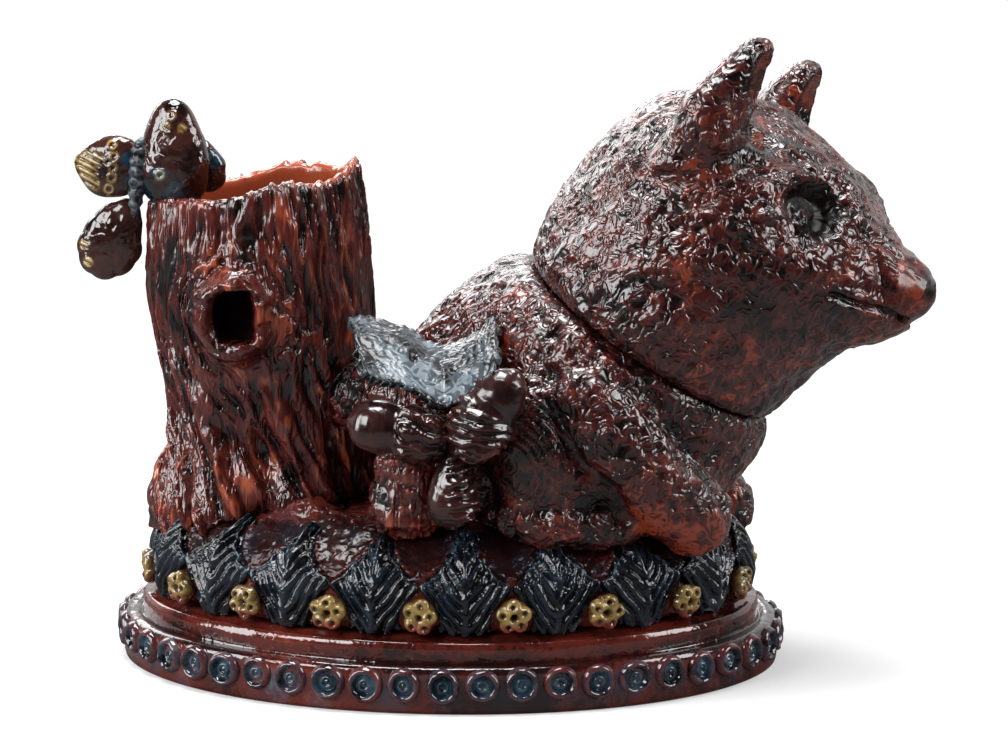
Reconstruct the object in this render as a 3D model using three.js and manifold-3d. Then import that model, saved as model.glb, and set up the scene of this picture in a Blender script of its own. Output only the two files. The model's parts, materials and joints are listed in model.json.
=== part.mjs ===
import * as THREE from "three";
import { mergeVertices } from "three/addons/utils/BufferGeometryUtils.js";
import Module from "manifold-3d";

// A bear jar in glazed redware: a bear lying beside a hollow tree stump on an oval plinth.
// Millimetres, +Z up, +X towards the bear's nose, -Y the shown side.
// The origin is the middle of the plinth's flat underside. The bear's head lifts off as the lid.

// Joints between clay pieces
const slip = 0.3; // layer of slip that lutes a piece to its carrier
const lidFit = 1.3; // play of the lid's collar in the jar's mouth

// Plinth
const plinthHalfLength = 128;
const plinthHalfWidth = 93;
const tierHeight = 18; // lower tier, which carries the roundels
const stepHeight = 9; // upper tier
const stepInset = 9;
const plinthEdge = 3; // rounding of the tiers
const plinthFloor = 9; // clay under the hollow base
const baseWall = 9; // clay round the hollow base
const roundelCount = 48;
const roundelRadius = 6.2;
const roundelRelief = 3;
const roundelHeight = 10.5;

// Mound of earth
const moundHalfLength = 112;
const moundHalfWidth = 78;
const moundHeight = 36;
const moundBulge = 3;
const moundShoulder = 30; // how far the rounded top edge runs in

// Leaves and flower bosses applied round the mound
const leafCount = 18;
const leafTurn = 0.42; // share of a leaf's pitch by which the ring of leaves is turned
const leafFoot = 1.8; // foot of a leaf above the plinth
const leafMargin = 4.5; // bare mound above the tips
const leafSpace = 0.8; // between a leaf and its neighbours
const leafThickness = 3.4;
const leafBed = 0.45; // thicker slip under a leaf
const bossRadius = 6.6;
const bossDepth = 5;
const bossLobe = 0.08; // share by which its five lobes swell
const bossSeat = 0.8; // boss above the plinth

// Hollow stump
const stumpX = -74;
const stumpHeight = 122; // mean height of the rim above the mound
const stumpFootRadius = 38;
const stumpWaistRadius = 34.5;
const stumpBellyRadius = 44.5;
const stumpMouthRadius = 41.5;
const stumpWall = 5.5;
const stumpFloor = 8;
const rimTilt = 7; // the rim is this much higher towards the bear, and lower away from it
const rimWave = 1.2;
const barkRibCount = 16;
const barkRib = 0.8; // ribs of the bark stand this far out, and the furrows sink as far in
const buttress = 7; // swelling of the foot towards the bear
const rootCount = 7;
const rootReach = 6.5;
const rootDrop = 14; // how far the roots run down the mound
const knotHeight = 76; // centre of the knot above the mound
const knotTurn = -98; // degrees round the stump
const knotHalfWidth = 11.5;
const knotHalfHeight = 15.5;
const knotRim = 6; // width of the raised lip
const knotDepth = 8;

// Bear's body, the jar itself
const neckX = 78; // middle of the slanting mouth
const neckRise = 63; // its height above the mound
const neckTilt = 33; // degrees
const neckHalfLength = 52;
const neckHalfWidth = 59;
const jarWall = 6;
const jarFloor = 7;
const rumpReach = 105; // rump behind the middle of the mouth
const rumpRise = 26;
const rumpTuck = 13; // foot of the rump tucked in under it
const loinReach = 90;
const loinRise = 65;
const withersReach = 14; // hump behind the nape
const chestReach = 42;
const chestRise = 20;
const chestTuck = 26; // foot of the chest tucked in under it
const bodyHalfWidth = 64;
const bodyFootHalfWidth = 54;
const limbGirth = 16; // radius of a foreleg
const shoulderBack = 38; // shoulder behind the middle of the mouth
const shoulderRise = 62;
const shoulderSpread = 60; // forelegs from the middle plane
const pawReach = 28;
const pawSpread = 38;
const pawDrop = 6; // paw below the top of the mound
const pawHang = 16; // further drop of the far paw over the mound's edge
const haunchBack = 34;
const haunchRise = 30;
const haunchHalfLength = 25;
const haunchHalfHeight = 31;
const haunchBulk = 16;
const haunchLean = -20; // degrees
const heelBack = 58;
const footLength = 60;
const footThickness = 10;

// Bear's head, the lid
const lidOverhang = 2; // how far the head stands out past the neck
const lidWall = 6;
const headReach = 107; // nose from the middle of the mouth
const headRise = 97; // crown above the middle of the mouth
const headHalfWidth = 65;
const furSwell = 0.6; // low clumps of fur
const headTurn = 16; // degrees that the face turns to the shown side
const collarWall = 5;
const collarDrop = 11; // collar below the seam
const collarHold = 8; // collar held in the lid
const socketRadius = 15;
const socketDepth = 6;
const eyeRadius = 6;
const mouthLength = 34;
const mouthGape = 4;
const noseRadius = 13;
const earHeight = 38;
const earLean = -2; // tip behind the root
const earDrop = 5; // the far ear sits lower
const earHalfWidth = 14;
const earThickness = 13; // half depth of its root, front to back

// Branch with its leaf and acorns
const sprigX = 2; // where the acorns meet
const sprigRise = 36; // above the mound
const branchRadius = 12;
const sprigLeafLength = 56;
const sprigLeafThickness = 4;
const sprigLeafSlope = 38; // degrees
const acornRadius = 10;
const acornLength = 36;

// Butterfly on the stump's rim
const butterflyTurn = -166; // degrees round the stump
const butterflyLength = 34;
const butterflyGirth = 4.5;
const wingThickness = 5;
const wingSpan = 30; // one wing from the body to its tip
const wingFold = 10; // degrees that the wings lean back from the body

const plinthHeight = tierHeight + stepHeight;
const ground = plinthHeight + moundHeight;

const wasm = await Module();
wasm.setup();

const vec = (x, y, z) => new THREE.Vector3(x, y, z);
const flat = (x, y) => new THREE.Vector2(x, y);
const radians = THREE.MathUtils.degToRad;
const mix = THREE.MathUtils.lerp;

// Solid from a closed geometry, turned the right way out
function solidOf(geometry) {
  const bare = new THREE.BufferGeometry();
  bare.setAttribute("position", geometry.getAttribute("position"));
  bare.setIndex(geometry.getIndex());
  const merged = mergeVertices(bare, 1e-3);
  const corners = merged.getIndex().array;
  const faces = [];
  for (let i = 0; i < corners.length; i += 3) {
    const [a, b, c] = corners.slice(i, i + 3);
    if (a !== b && b !== c && c !== a) faces.push(a, b, c);
  }
  const build = (triangles) =>
    new wasm.Manifold(
      new wasm.Mesh({
        numProp: 3,
        vertProperties: merged.getAttribute("position").array,
        triVerts: new Uint32Array(triangles),
      }),
    );
  const solid = build(faces);
  return solid.volume() > 0 ? solid : build(faces.reverse());
}

// Solid through a stack of rings with equal counts, closed by a fan at each end
function skin(rings) {
  const count = rings[0].length;
  const points = rings.flat();
  const faces = [];
  for (let row = 0; row + 1 < rings.length; row++) {
    for (let i = 0; i < count; i++) {
      const a = row * count + i;
      const b = row * count + ((i + 1) % count);
      faces.push(a, b, b + count, a, b + count, a + count);
    }
  }
  const closeEnd = (row, order) => {
    const middle = vec(0, 0, 0);
    rings[row].forEach((point) => middle.addScaledVector(point, 1 / count));
    const hub = points.push(middle) - 1;
    for (let i = 0; i < count; i++) {
      const pair = [row * count + i, row * count + ((i + 1) % count)];
      faces.push(hub, pair[1 - order], pair[order]);
    }
  };
  closeEnd(0, 0);
  closeEnd(rings.length - 1, 1);
  const geometry = new THREE.BufferGeometry().setFromPoints(points);
  geometry.setIndex(faces);
  return solidOf(geometry);
}

// Smooth value at t through [t, value] pairs
function smooth(pairs, t) {
  const last = pairs.length - 2;
  let i = 0;
  while (i < last && t > pairs[i + 1][0]) i++;
  const slope = (k) => {
    const a = pairs[Math.max(k - 1, 0)];
    const b = pairs[Math.min(k + 1, pairs.length - 1)];
    return (b[1] - a[1]) / (b[0] - a[0]);
  };
  const span = pairs[i + 1][0] - pairs[i][0];
  const s = THREE.MathUtils.clamp((t - pairs[i][0]) / span, 0, 1);
  const start = (1 + 2 * s) * (1 - s) ** 2 * pairs[i][1] + s * (1 - s) ** 2 * span * slope(i);
  const end = s * s * (3 - 2 * s) * pairs[i + 1][1] - s * s * (1 - s) * span * slope(i + 1);
  return start + end;
}

// Even steps from one value to another
const steps = (from, to, count) => Array.from({ length: count + 1 }, (_, i) => mix(from, to, i / count));

// Largest body of a solid, without its offcuts
const largest = (solid) => solid.decompose().reduce((a, b) => (a.volume() > b.volume() ? a : b));

// Piece cut back to clear its neighbours
const trim = (piece, cutters) => largest(cutters.reduce((cut, other) => cut.subtract(other), piece));

// Ring of an oval, evenly spaced along its edge
function oval(halfLength, halfWidth, height, count) {
  const edge = new THREE.EllipseCurve(0, 0, halfLength, halfWidth);
  return edge.getSpacedPoints(count).slice(0, count).map((p) => vec(p.x, p.y, height));
}

// Ring round a middle, spanned by two half axes
function ring(middle, alongAxis, acrossAxis, count) {
  return Array.from({ length: count }, (_, i) => {
    const turn = (2 * Math.PI * i) / count;
    return middle
      .clone()
      .addScaledVector(alongAxis, Math.cos(turn))
      .addScaledVector(acrossAxis, Math.sin(turn));
  });
}

// Ball with three half axes, turned in degrees about Y
function ball(at, half, tilt = 0, detail = 14) {
  const geometry = new THREE.SphereGeometry(1, detail, Math.round(detail * 0.6));
  geometry.scale(half.x, half.y, half.z);
  geometry.rotateY(radians(tilt));
  geometry.translate(at.x, at.y, at.z);
  return solidOf(geometry);
}

// Limb along a spine of stations { at, wide, tall }, wide being level and tall square to it
function limb(stations, count = 12, rows = 7) {
  const spine = new THREE.CatmullRomCurve3(stations.map((s) => s.at));
  const last = stations.length - 1;
  const wide = stations.map((s, i) => [i / last, s.wide]);
  const tall = stations.map((s, i) => [i / last, s.tall]);
  return skin(
    steps(0, 1, rows).map((t) => {
      const ahead = spine.getTangent(t);
      const level = vec(0, 0, 1).cross(ahead).normalize();
      const upright = ahead.clone().cross(level);
      const rounding = Math.sqrt(Math.max(0.12, 1 - (2 * t - 1) ** 8));
      level.multiplyScalar(smooth(wide, t) * rounding);
      upright.multiplyScalar(smooth(tall, t) * rounding);
      return ring(spine.getPoint(t), level, upright, count);
    }),
  );
}

// Turned solid from a half profile, set along an axis from a point
function turned(profile, count, at, axis) {
  const geometry = new THREE.LatheGeometry(profile, count);
  geometry.applyQuaternion(new THREE.Quaternion().setFromUnitVectors(vec(0, 1, 0), axis));
  geometry.translate(at.x, at.y, at.z);
  return solidOf(geometry);
}

// Plinth: two rounded tiers and a band of dished roundels

function plinth() {
  const roundEdge = (inset, height) =>
    [0, Math.PI / 4, Math.PI / 2].map((turn) => [
      inset + plinthEdge * (1 - Math.cos(turn)),
      height - plinthEdge * (1 - Math.sin(turn)),
    ]);
  const profile = [
    [plinthEdge / 2, 0],
    [0, plinthEdge / 2],
    ...roundEdge(0, tierHeight),
    [stepInset, tierHeight],
    ...roundEdge(stepInset - plinthEdge / 2, plinthHeight),
  ];
  const tier = ([inset, height]) => oval(plinthHalfLength - inset, plinthHalfWidth - inset, height, 52);
  const well = plinthHalfLength - moundHalfLength + baseWall;
  let body = skin([...profile, [well, plinthHeight], [well, plinthFloor]].map(tier));
  const edge = new THREE.EllipseCurve(0, 0, plinthHalfLength, plinthHalfWidth);
  const face = [
    flat(0, -plinthEdge / 2),
    flat(roundelRadius, -plinthEdge / 2),
    flat(roundelRadius * 0.8, roundelRelief),
    flat(0, roundelRelief * 0.4),
  ];
  for (let i = 0; i < roundelCount; i++) {
    const spot = edge.getPointAt((i + 0.5) / roundelCount);
    const run = edge.getTangentAt((i + 0.5) / roundelCount);
    const roundel = turned(face, 6, vec(spot.x, spot.y, roundelHeight), vec(run.y, -run.x, 0));
    body = body.add(roundel);
  }
  return body;
}

// Mound: an oval dome with a bulging side

function moundInset(rise) {
  const dome = moundShoulder * (1 - Math.sqrt(1 - rise ** 4));
  return dome - moundBulge * Math.sin(Math.PI * rise ** 0.65);
}

const moundRows = [0, 0.25, 0.5, 0.7, 0.85, 0.95, 1];

// Ring of the mound's side, grown outwards or, with a negative value, shrunk
function moundRing(rise, grow) {
  const inset = moundInset(rise) - grow;
  const height = mix(plinthHeight + slip, ground + grow, rise);
  return oval(moundHalfLength - inset, moundHalfWidth - inset, height, 48);
}

const moundCut = skin(moundRows.map((rise) => moundRing(rise, slip)));

// Shell of the mound, open underneath over the plinth's well
function mound() {
  const inside = [1, 0.85, 0.5, 0].map((rise) => moundRing(rise, -baseWall));
  return skin([...inside, ...moundRows.map((rise) => moundRing(rise, 0))]);
}

// Point of the mound's side and the direction out of it, by share of the way round and rise
function moundSpot(share, rise) {
  const at = (s, r) => {
    const inset = moundInset(r);
    const edge = new THREE.EllipseCurve(0, 0, moundHalfLength - inset, moundHalfWidth - inset);
    const p = edge.getPointAt(s - Math.floor(s));
    return vec(p.x, p.y, mix(plinthHeight + slip, ground, r));
  };
  const spot = at(share, rise);
  const round = at(share + 1e-3, rise).sub(at(share - 1e-3, rise)).normalize();
  const up = at(share, rise + 1e-3).sub(at(share, rise - 1e-3)).normalize();
  return { spot, round, up, out: round.clone().cross(up) };
}

const moundGirth = new THREE.EllipseCurve(0, 0, moundHalfLength, moundHalfWidth).getLength();
const leafHalfWidth = moundGirth / leafCount / 2 - leafSpace / 2;
const leafFootHalfWidth = moundGirth / leafCount / 2 - bossRadius * (1 + bossLobe) - leafSpace;

// Leaf pressed on the mound: a narrow foot, broad shoulders and a pointed tip
function moundLeaf(index) {
  const foot = leafFoot / moundHeight;
  const tip = 1 - leafMargin / moundHeight;
  const rows = [
    [foot, leafFootHalfWidth],
    [0.25, leafFootHalfWidth],
    [0.35, leafFootHalfWidth * 1.1],
    [0.5, leafHalfWidth],
    [0.7, leafHalfWidth * 0.45],
    [0.85, leafHalfWidth * 0.12],
    [tip, leafHalfWidth * 0.05],
  ];
  const across = steps(-1, 1, 3);
  return skin(
    rows.map(([rise, halfWidth]) => {
      const point = (c, depth) => {
        const share = (index + 0.5 + leafTurn) / leafCount + (c * halfWidth) / moundGirth;
        const { spot, out } = moundSpot(share, rise);
        return spot.addScaledVector(out, leafBed + depth);
      };
      const ridge = (c) => leafThickness * mix(1, 0.6, rise) * (Math.abs(c) < 1 ? 1 : 0.4);
      return [...across.map((c) => point(c, ridge(c))), ...across.toReversed().map((c) => point(c, 0))];
    }),
  );
}

// Flower boss between two leaves: a five-lobed dome with a sunk middle
function moundBoss(index) {
  const height = bossSeat + bossRadius * (1 + bossLobe);
  const { spot, round, up, out } = moundSpot((index + leafTurn) / leafCount, height / moundHeight);
  const profile = [
    [1, 0],
    [1, 0.55],
    [0.5, 1],
  ];
  return skin(
    profile.map(([width, depth]) =>
      Array.from({ length: 10 }, (_, i) => {
        const turn = (Math.PI * i) / 5;
        const reach = bossRadius * width * (1 + bossLobe * Math.cos(5 * turn));
        return spot
          .clone()
          .addScaledVector(round, reach * Math.cos(turn))
          .addScaledVector(up, reach * Math.sin(turn))
          .addScaledVector(out, slip + bossDepth * depth);
      }),
    ),
  );
}

// Stump: a hollow trunk with a waist, a tilted ragged rim and roots running down the mound

function trunkRadius(rise) {
  return smooth(
    [
      [-0.12, stumpFootRadius + rootReach * 0.3],
      [0, stumpFootRadius],
      [0.2, stumpWaistRadius],
      [0.42, mix(stumpWaistRadius, stumpBellyRadius, 0.55)],
      [0.68, stumpBellyRadius],
      [1, stumpMouthRadius],
    ],
    rise,
  );
}

const rimHeight = (turn) => stumpHeight + rimTilt * Math.cos(turn) + rimWave * Math.sin(5 * turn + 1);

// Point of the trunk by turn in radians and share of the height
function trunkPoint(turn, rise, grow) {
  const fade = THREE.MathUtils.clamp(1 - rise / 0.34, 0, 1) ** 2;
  const root = rootReach * fade * (0.5 + 0.5 * Math.cos(rootCount * turn + 0.6));
  const foot = [
    [-0.12, 0.7],
    [0.15, 1],
    [0.4, 0.7],
    [0.7, 0],
  ];
  const swell = buttress * smooth(foot, rise) * Math.max(Math.cos(turn), 0) ** 2;
  const radius = trunkRadius(rise) + root + swell + barkRib * Math.cos(barkRibCount * turn) + grow;
  const height = rise < 0 ? rise * stumpHeight : rise * rimHeight(turn);
  return vec(stumpX + radius * Math.cos(turn), radius * Math.sin(turn), ground + height);
}

const trunkSides = 2 * barkRibCount; // a side falls on each rib and in each furrow
const trunkTurns = Array.from({ length: trunkSides }, (_, i) => (2 * Math.PI * i) / trunkSides);
const trunkRing = (rise, grow) => trunkTurns.map((turn) => trunkPoint(turn, rise, grow));
const trunkRows = [-rootDrop / stumpHeight, 0, 0.08, 0.18, 0.3, 0.45, 0.62, 0.8, 1];

const trunkCut = skin(trunkRows.map((rise) => trunkRing(rise, slip)));

function stump() {
  const floor = (slip + stumpFloor) / stumpHeight;
  const hollow = [1, 0.75, 0.45, 0.2, floor].map((rise) =>
    trunkTurns.map((turn) => {
      const radius = trunkRadius(Math.max(rise, 0.2)) - stumpWall;
      const height = rise > floor ? rise * rimHeight(turn) : rise * stumpHeight;
      return vec(stumpX + radius * Math.cos(turn), radius * Math.sin(turn), ground + height);
    }),
  );
  const outside = trunkRows.map((rise) => trunkRing(rise, 0));
  return skin([...outside, ...hollow]).subtract(moundCut);
}

// Knot: the raised lip round a lost branch, turned as a ring and drawn out tall
function knot() {
  const inner = knotHalfWidth - knotRim;
  const lip = [
    flat(inner, -knotDepth),
    flat(knotHalfWidth + 2, -knotDepth),
    flat(knotHalfWidth + 2, knotDepth * 0.1),
    flat(knotHalfWidth, knotDepth * 0.6),
    flat(knotHalfWidth - knotRim * 0.4, knotDepth),
    flat(inner + knotRim * 0.2, knotDepth * 0.8),
    flat(inner, knotDepth * 0.3),
    flat(inner, -knotDepth),
  ];
  const turn = radians(knotTurn);
  const at = trunkPoint(turn, knotHeight / rimHeight(turn), 0);
  const geometry = new THREE.LatheGeometry(lip, 16);
  geometry.scale(1, 1, knotHalfHeight / knotHalfWidth);
  geometry.rotateZ(turn - Math.PI / 2);
  geometry.translate(at.x, at.y, at.z);
  return solidOf(geometry).subtract(trunkCut);
}

// Bear's body: rings fan out from the rump to the slanting mouth

const tilt = radians(neckTilt);
const neck = vec(neckX, 0, ground + neckRise);
const slope = vec(Math.cos(tilt), 0, -Math.sin(tilt)); // down the mouth's plane, from nape to throat
const lift = vec(Math.sin(tilt), 0, Math.cos(tilt)); // square to the mouth's plane
const nape = neck.clone().addScaledVector(slope, -neckHalfLength);
const throat = neck.clone().addScaledVector(slope, neckHalfLength);

const spotXZ = (point) => flat(point.x, point.z);
const backLine = new THREE.SplineCurve([
  flat(neckX - rumpReach + rumpTuck, ground - rootDrop),
  flat(neckX - rumpReach, ground + rumpRise),
  flat(neckX - loinReach, ground + loinRise),
  flat(nape.x - withersReach, nape.z + 1),
  spotXZ(nape),
]);
const chestLine = new THREE.SplineCurve([
  flat(neckX + chestReach - chestTuck, ground - rootDrop),
  flat(neckX + chestReach, ground + chestRise),
  spotXZ(throat),
]);
const bodyWidth = [
  [0, bodyFootHalfWidth],
  [0.3, bodyHalfWidth * 0.98],
  [0.6, bodyHalfWidth],
  [1, neckHalfWidth],
];

// Ring of the body between its back line and its chest line
function bodyRing(t, grow) {
  const back = backLine.getPoint(t);
  const chest = chestLine.getPoint(t);
  const along = vec(chest.x - back.x, 0, chest.y - back.y);
  const middle = vec((chest.x + back.x) / 2, 0, (chest.y + back.y) / 2);
  const half = along.length() / 2 + grow;
  return ring(middle, along.setLength(half), vec(0, smooth(bodyWidth, t) + grow, 0), 30);
}

const bodyRows = [0, 0.12, 0.25, 0.38, 0.5, 0.62, 0.75, 0.88, 1];
const bodyCut = skin(bodyRows.map((t) => bodyRing(t, slip)));

function body() {
  const floor = ground + slip + jarFloor;
  const back = neckX - rumpReach + jarWall * 2;
  const chest = neckX + chestReach - jarWall * 2;
  const floorRing = ring(
    vec((back + chest) / 2, 0, floor),
    vec((chest - back) / 2, 0, 0),
    vec(0, bodyFootHalfWidth - jarWall, 0),
    30,
  );
  const hollow = [1, 0.88, 0.75, 0.62, 0.5].map((t) => bodyRing(t, -jarWall));
  const outside = bodyRows.map((t) => bodyRing(t, 0));
  return skin([...outside, ...hollow, floorRing]).subtract(moundCut);
}

// Foreleg from the shoulder down to the paw, side being -1 or 1; the far paw hangs over the mound's edge
function foreleg(side, grow = 0) {
  const hang = side > 0 ? pawHang : 0;
  const shoulder = vec(neckX - shoulderBack, 0, ground + shoulderRise);
  const paw = vec(neckX + pawReach + hang * 0.4, 0, ground - pawDrop - hang);
  const station = (share, spread, girth) => {
    const at = shoulder.clone().lerp(paw, share);
    at.y = side * spread;
    return { at, wide: limbGirth * girth * 0.8 + grow, tall: limbGirth * girth + grow };
  };
  return limb([
    station(0, shoulderSpread - limbGirth * 0.6, 0.9),
    station(0.3, shoulderSpread, 1.2),
    station(0.64, mix(shoulderSpread, pawSpread, 0.2), 1.08),
    station(0.87, mix(shoulderSpread, pawSpread, 0.65), 0.95),
    station(1, pawSpread, 0.95),
  ]);
}

// Haunch with its hind foot laid forward along the mound
function hindleg(side, grow = 0) {
  const spread = bodyHalfWidth - haunchBulk * 0.4;
  const thigh = ball(
    vec(neckX - haunchBack, side * spread, ground + haunchRise),
    vec(haunchHalfLength + grow, haunchBulk + grow, haunchHalfHeight + grow),
    haunchLean,
  );
  const station = (share, out, up, girth) => ({
    at: vec(neckX - heelBack + share * footLength, side * out, ground + up * footThickness),
    wide: footThickness * girth * 1.2 + grow,
    tall: footThickness * girth + grow,
  });
  const foot = limb([
    station(0, spread - footThickness * 0.3, 0.6, 1),
    station(0.45, spread, 0.4, 1.2),
    station(1, spread - footThickness * 0.8, 0.2, 1),
  ]);
  return thigh.add(foot);
}

// Bear's head: rings run from the seam over the crown and down to the muzzle

// Stations of the crown line, jaw line and half width, as shares of headReach, headRise, headHalfWidth
const crownLine = new THREE.SplineCurve([
  flat(nape.x - slope.x * lidOverhang, nape.z - slope.z * lidOverhang),
  ...[
    [-0.41, 0.42],
    [-0.31, 0.6],
    [-0.14, 0.83],
    [0.08, 0.98],
    [0.34, 0.97],
    [0.57, 0.82],
    [0.76, 0.64],
    [0.84, 0.46],
    [0.92, 0.38],
    [0.965, 0.31],
  ].map(([x, z]) => flat(neckX + x * headReach, neck.z + z * headRise)),
]);
const jawLine = new THREE.SplineCurve([
  flat(throat.x + slope.x * lidOverhang, throat.z + slope.z * lidOverhang),
  ...[
    [0.475, -0.24],
    [0.53, -0.18],
    [0.59, -0.115],
    [0.65, -0.06],
    [0.71, -0.02],
    [0.77, 0],
    [0.82, 0.01],
    [0.87, 0.03],
    [0.92, 0.06],
    [0.95, 0.12],
  ].map(([x, z]) => flat(neckX + x * headReach, neck.z + z * headRise)),
]);
const headWidth = [
  [0, neckHalfWidth + lidOverhang],
  [0.1, headHalfWidth * 0.99],
  [0.2, headHalfWidth],
  [0.3, headHalfWidth * 0.98],
  [0.4, headHalfWidth * 0.92],
  [0.5, headHalfWidth * 0.8],
  [0.6, headHalfWidth * 0.62],
  [0.7, headHalfWidth * 0.46],
  [0.8, headHalfWidth * 0.34],
  [0.9, headHalfWidth * 0.28],
  [1, headHalfWidth * 0.2],
];

// Turn a point of the head about the neck's axis, fully past the cheeks and not at all at the seam
function turnHead(point, t) {
  const share = THREE.MathUtils.smoothstep(t, 0, 0.35);
  return point.sub(neck).applyAxisAngle(lift, -radians(headTurn) * share).add(neck);
}

// Middle and half axes of a ring of the head
function headSlice(t, grow) {
  const top = crownLine.getPoint(t);
  const jaw = jawLine.getPoint(t);
  const along = vec(jaw.x - top.x, 0, jaw.y - top.y);
  const middle = vec((jaw.x + top.x) / 2, 0, (jaw.y + top.y) / 2).addScaledVector(lift, slip);
  const half = along.length() / 2 + grow;
  return { middle, along: along.setLength(half), across: vec(0, smooth(headWidth, t) + grow, 0) };
}

function headRing(t, grow) {
  const { middle, along, across } = headSlice(t, grow);
  return ring(middle, along, across, 30).map((point) => turnHead(point, t));
}

// Rings of the head's outside, with clumps of fur that swell at every other point, staggered by row
const headRowCount = 13;
const furFade = [
  [0, 0],
  [0.12, 1],
  [0.55, 1],
  [0.75, 0],
  [1, 0],
];
function headRows(grow) {
  return steps(0, 1, headRowCount).map((t, row) =>
    headRing(t, grow).map((point, i) => {
      const out = point.clone().sub(turnHead(headSlice(t, 0).middle, t)).normalize();
      const clump = (i + row) % 2 ? 1 : -1;
      return point.addScaledVector(out, furSwell * smooth(furFade, t) * clump);
    }),
  );
}
const headMass = (grow) => skin(headRows(grow));

const collarHalfLength = neckHalfLength - jarWall - lidFit;
const collarHalfWidth = neckHalfWidth - jarWall - lidFit;

// Oval ring square to the mouth, at a height above the seam
function mouthRing(grow, height) {
  const middle = neck.clone().addScaledVector(lift, height);
  const along = slope.clone().multiplyScalar(collarHalfLength + grow);
  return ring(middle, along, vec(0, collarHalfWidth + grow, 0), 30);
}

const collar = () =>
  skin([
    mouthRing(0, -collarDrop),
    mouthRing(0, collarHold),
    mouthRing(-collarWall, collarHold),
    mouthRing(-collarWall, -collarDrop),
    mouthRing(0, -collarDrop),
  ]);

// Point of the head before it turns, by ring and turn from the jaw
function headPoint(t, turn) {
  const { middle, along, across } = headSlice(t, 0);
  return middle.addScaledVector(along, Math.cos(turn)).addScaledVector(across, Math.sin(turn));
}

// Eye's place on the head's side, with the direction out of it
function eyeSpot(side) {
  const t = 0.6;
  const turn = side * radians(98);
  const step = 0.02;
  const spot = headPoint(t, turn);
  const ahead = headPoint(t + step, turn).sub(spot);
  const round = headPoint(t, turn + step).sub(spot);
  const out = ahead.cross(round).normalize();
  if (out.y * side < 0) out.negate();
  return { at: turnHead(spot, t), out: out.applyAxisAngle(lift, -radians(headTurn)) };
}

function socket(side, grow) {
  const { at, out } = eyeSpot(side);
  const radius = socketRadius + grow;
  return ball(at.addScaledVector(out, socketRadius - socketDepth), vec(radius, radius, radius));
}

function eye(side) {
  const { at, out } = eyeSpot(side);
  const middle = at.addScaledVector(out, eyeRadius * 0.2 - socketDepth * 0.5);
  return ball(middle, vec(eyeRadius, eyeRadius, eyeRadius), 0, 12).intersect(socket(side, -slip));
}

const muzzleTip = turnHead(headSlice(1, 0).middle, 1);
const facing = vec(1, 0, 0).applyAxisAngle(lift, -radians(headTurn));

function head() {
  const hollow = [
    mouthRing(slip, slip),
    mouthRing(slip, collarHold + slip),
    ...[0.2, 0.32, 0.44, 0.52].map((t) => headRing(t, -lidWall)),
  ];
  const shell = skin([...hollow.toReversed(), ...headRows(0)]);
  const gape = new THREE.Shape([
    flat(0, 0),
    flat(mouthLength, -mouthGape / 2),
    flat(mouthLength, mouthGape / 2),
  ]);
  const slot = new THREE.ExtrudeGeometry(gape, { depth: headHalfWidth, bevelEnabled: false });
  slot.translate(0, 0, -headHalfWidth / 2);
  slot.rotateX(Math.PI / 2);
  slot.rotateY(radians(14));
  slot.rotateZ(-radians(headTurn));
  const corner = muzzleTip.clone().addScaledVector(facing, -0.72 * mouthLength);
  slot.translate(corner.x, corner.y, corner.z - noseRadius * 0.45);
  return shell.subtract(socket(-1, 0)).subtract(socket(1, 0)).subtract(solidOf(slot));
}

function nose() {
  const half = vec(noseRadius * 0.85, noseRadius * 0.95, noseRadius * 0.9);
  const at = muzzleTip.clone().addScaledVector(facing, -0.2 * noseRadius);
  return ball(at, half, 20, 10).subtract(headMass(slip));
}

// Ear: a wedge that leans back into the crown, hollowed on its front
function ear(side) {
  const root = headPoint(0.45, side * radians(130));
  root.addScaledVector(lift, side > 0 ? -earDrop : 0);
  const sideways = facing.clone().cross(lift).normalize();
  const spot = (share) => {
    const at = root.clone().addScaledVector(lift, earHeight * share).addScaledVector(slope, earLean * share);
    return turnHead(at, 1);
  };
  const blade = (share, width, thick) =>
    ring(
      spot(share),
      sideways.clone().multiplyScalar(earHalfWidth * width),
      facing.clone().multiplyScalar(earThickness * thick),
      12,
    );
  const stand = skin([
    blade(-0.45, 1.1, 1.15),
    blade(0.25, 1.05, 0.92),
    blade(0.55, 0.9, 0.8),
    blade(0.8, 0.68, 0.62),
    blade(0.95, 0.42, 0.4),
    blade(1, 0.18, 0.2),
  ]);
  const cup = spot(0.42).addScaledVector(facing, earThickness);
  const dish = ball(cup, vec(earThickness * 0.62, earHalfWidth * 0.7, earHeight * 0.42), 0, 12);
  return stand.subtract(dish).subtract(headMass(2 * slip));
}

// Branch from the foot of the stump, with a lobed leaf and three acorns

const sprig = vec(sprigX, -(bodyHalfWidth + acornRadius * 0.4), ground + sprigRise);
const boughEnd = sprig.clone().add(vec(-0.25, 0.6, 1.4).multiplyScalar(branchRadius));

// Stem that rises from the mound and a stout bough from the stump's foot, meeting under the leaf
function branchMass(grow = 0) {
  const station = (at, girth) => {
    const radius = branchRadius * girth + grow;
    return { at, wide: radius, tall: radius };
  };
  const fork = trunkPoint(radians(-20), 0.3, -branchRadius);
  const bow = fork.clone().lerp(boughEnd, 0.5);
  const bough = limb([station(fork, 1.5), station(bow, 1.3), station(boughEnd, 0.8)], 12, 5);
  const heel = vec(sprig.x - branchRadius, sprig.y + branchRadius * 0.7, ground - branchRadius * 0.5);
  const knee = heel.clone().lerp(boughEnd, 0.5).add(vec(-branchRadius * 0.2, 0, 0));
  const stem = limb([station(heel, 1.25), station(knee, 1.1), station(boughEnd, 0.8)], 12, 6);
  return bough.add(stem);
}

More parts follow.
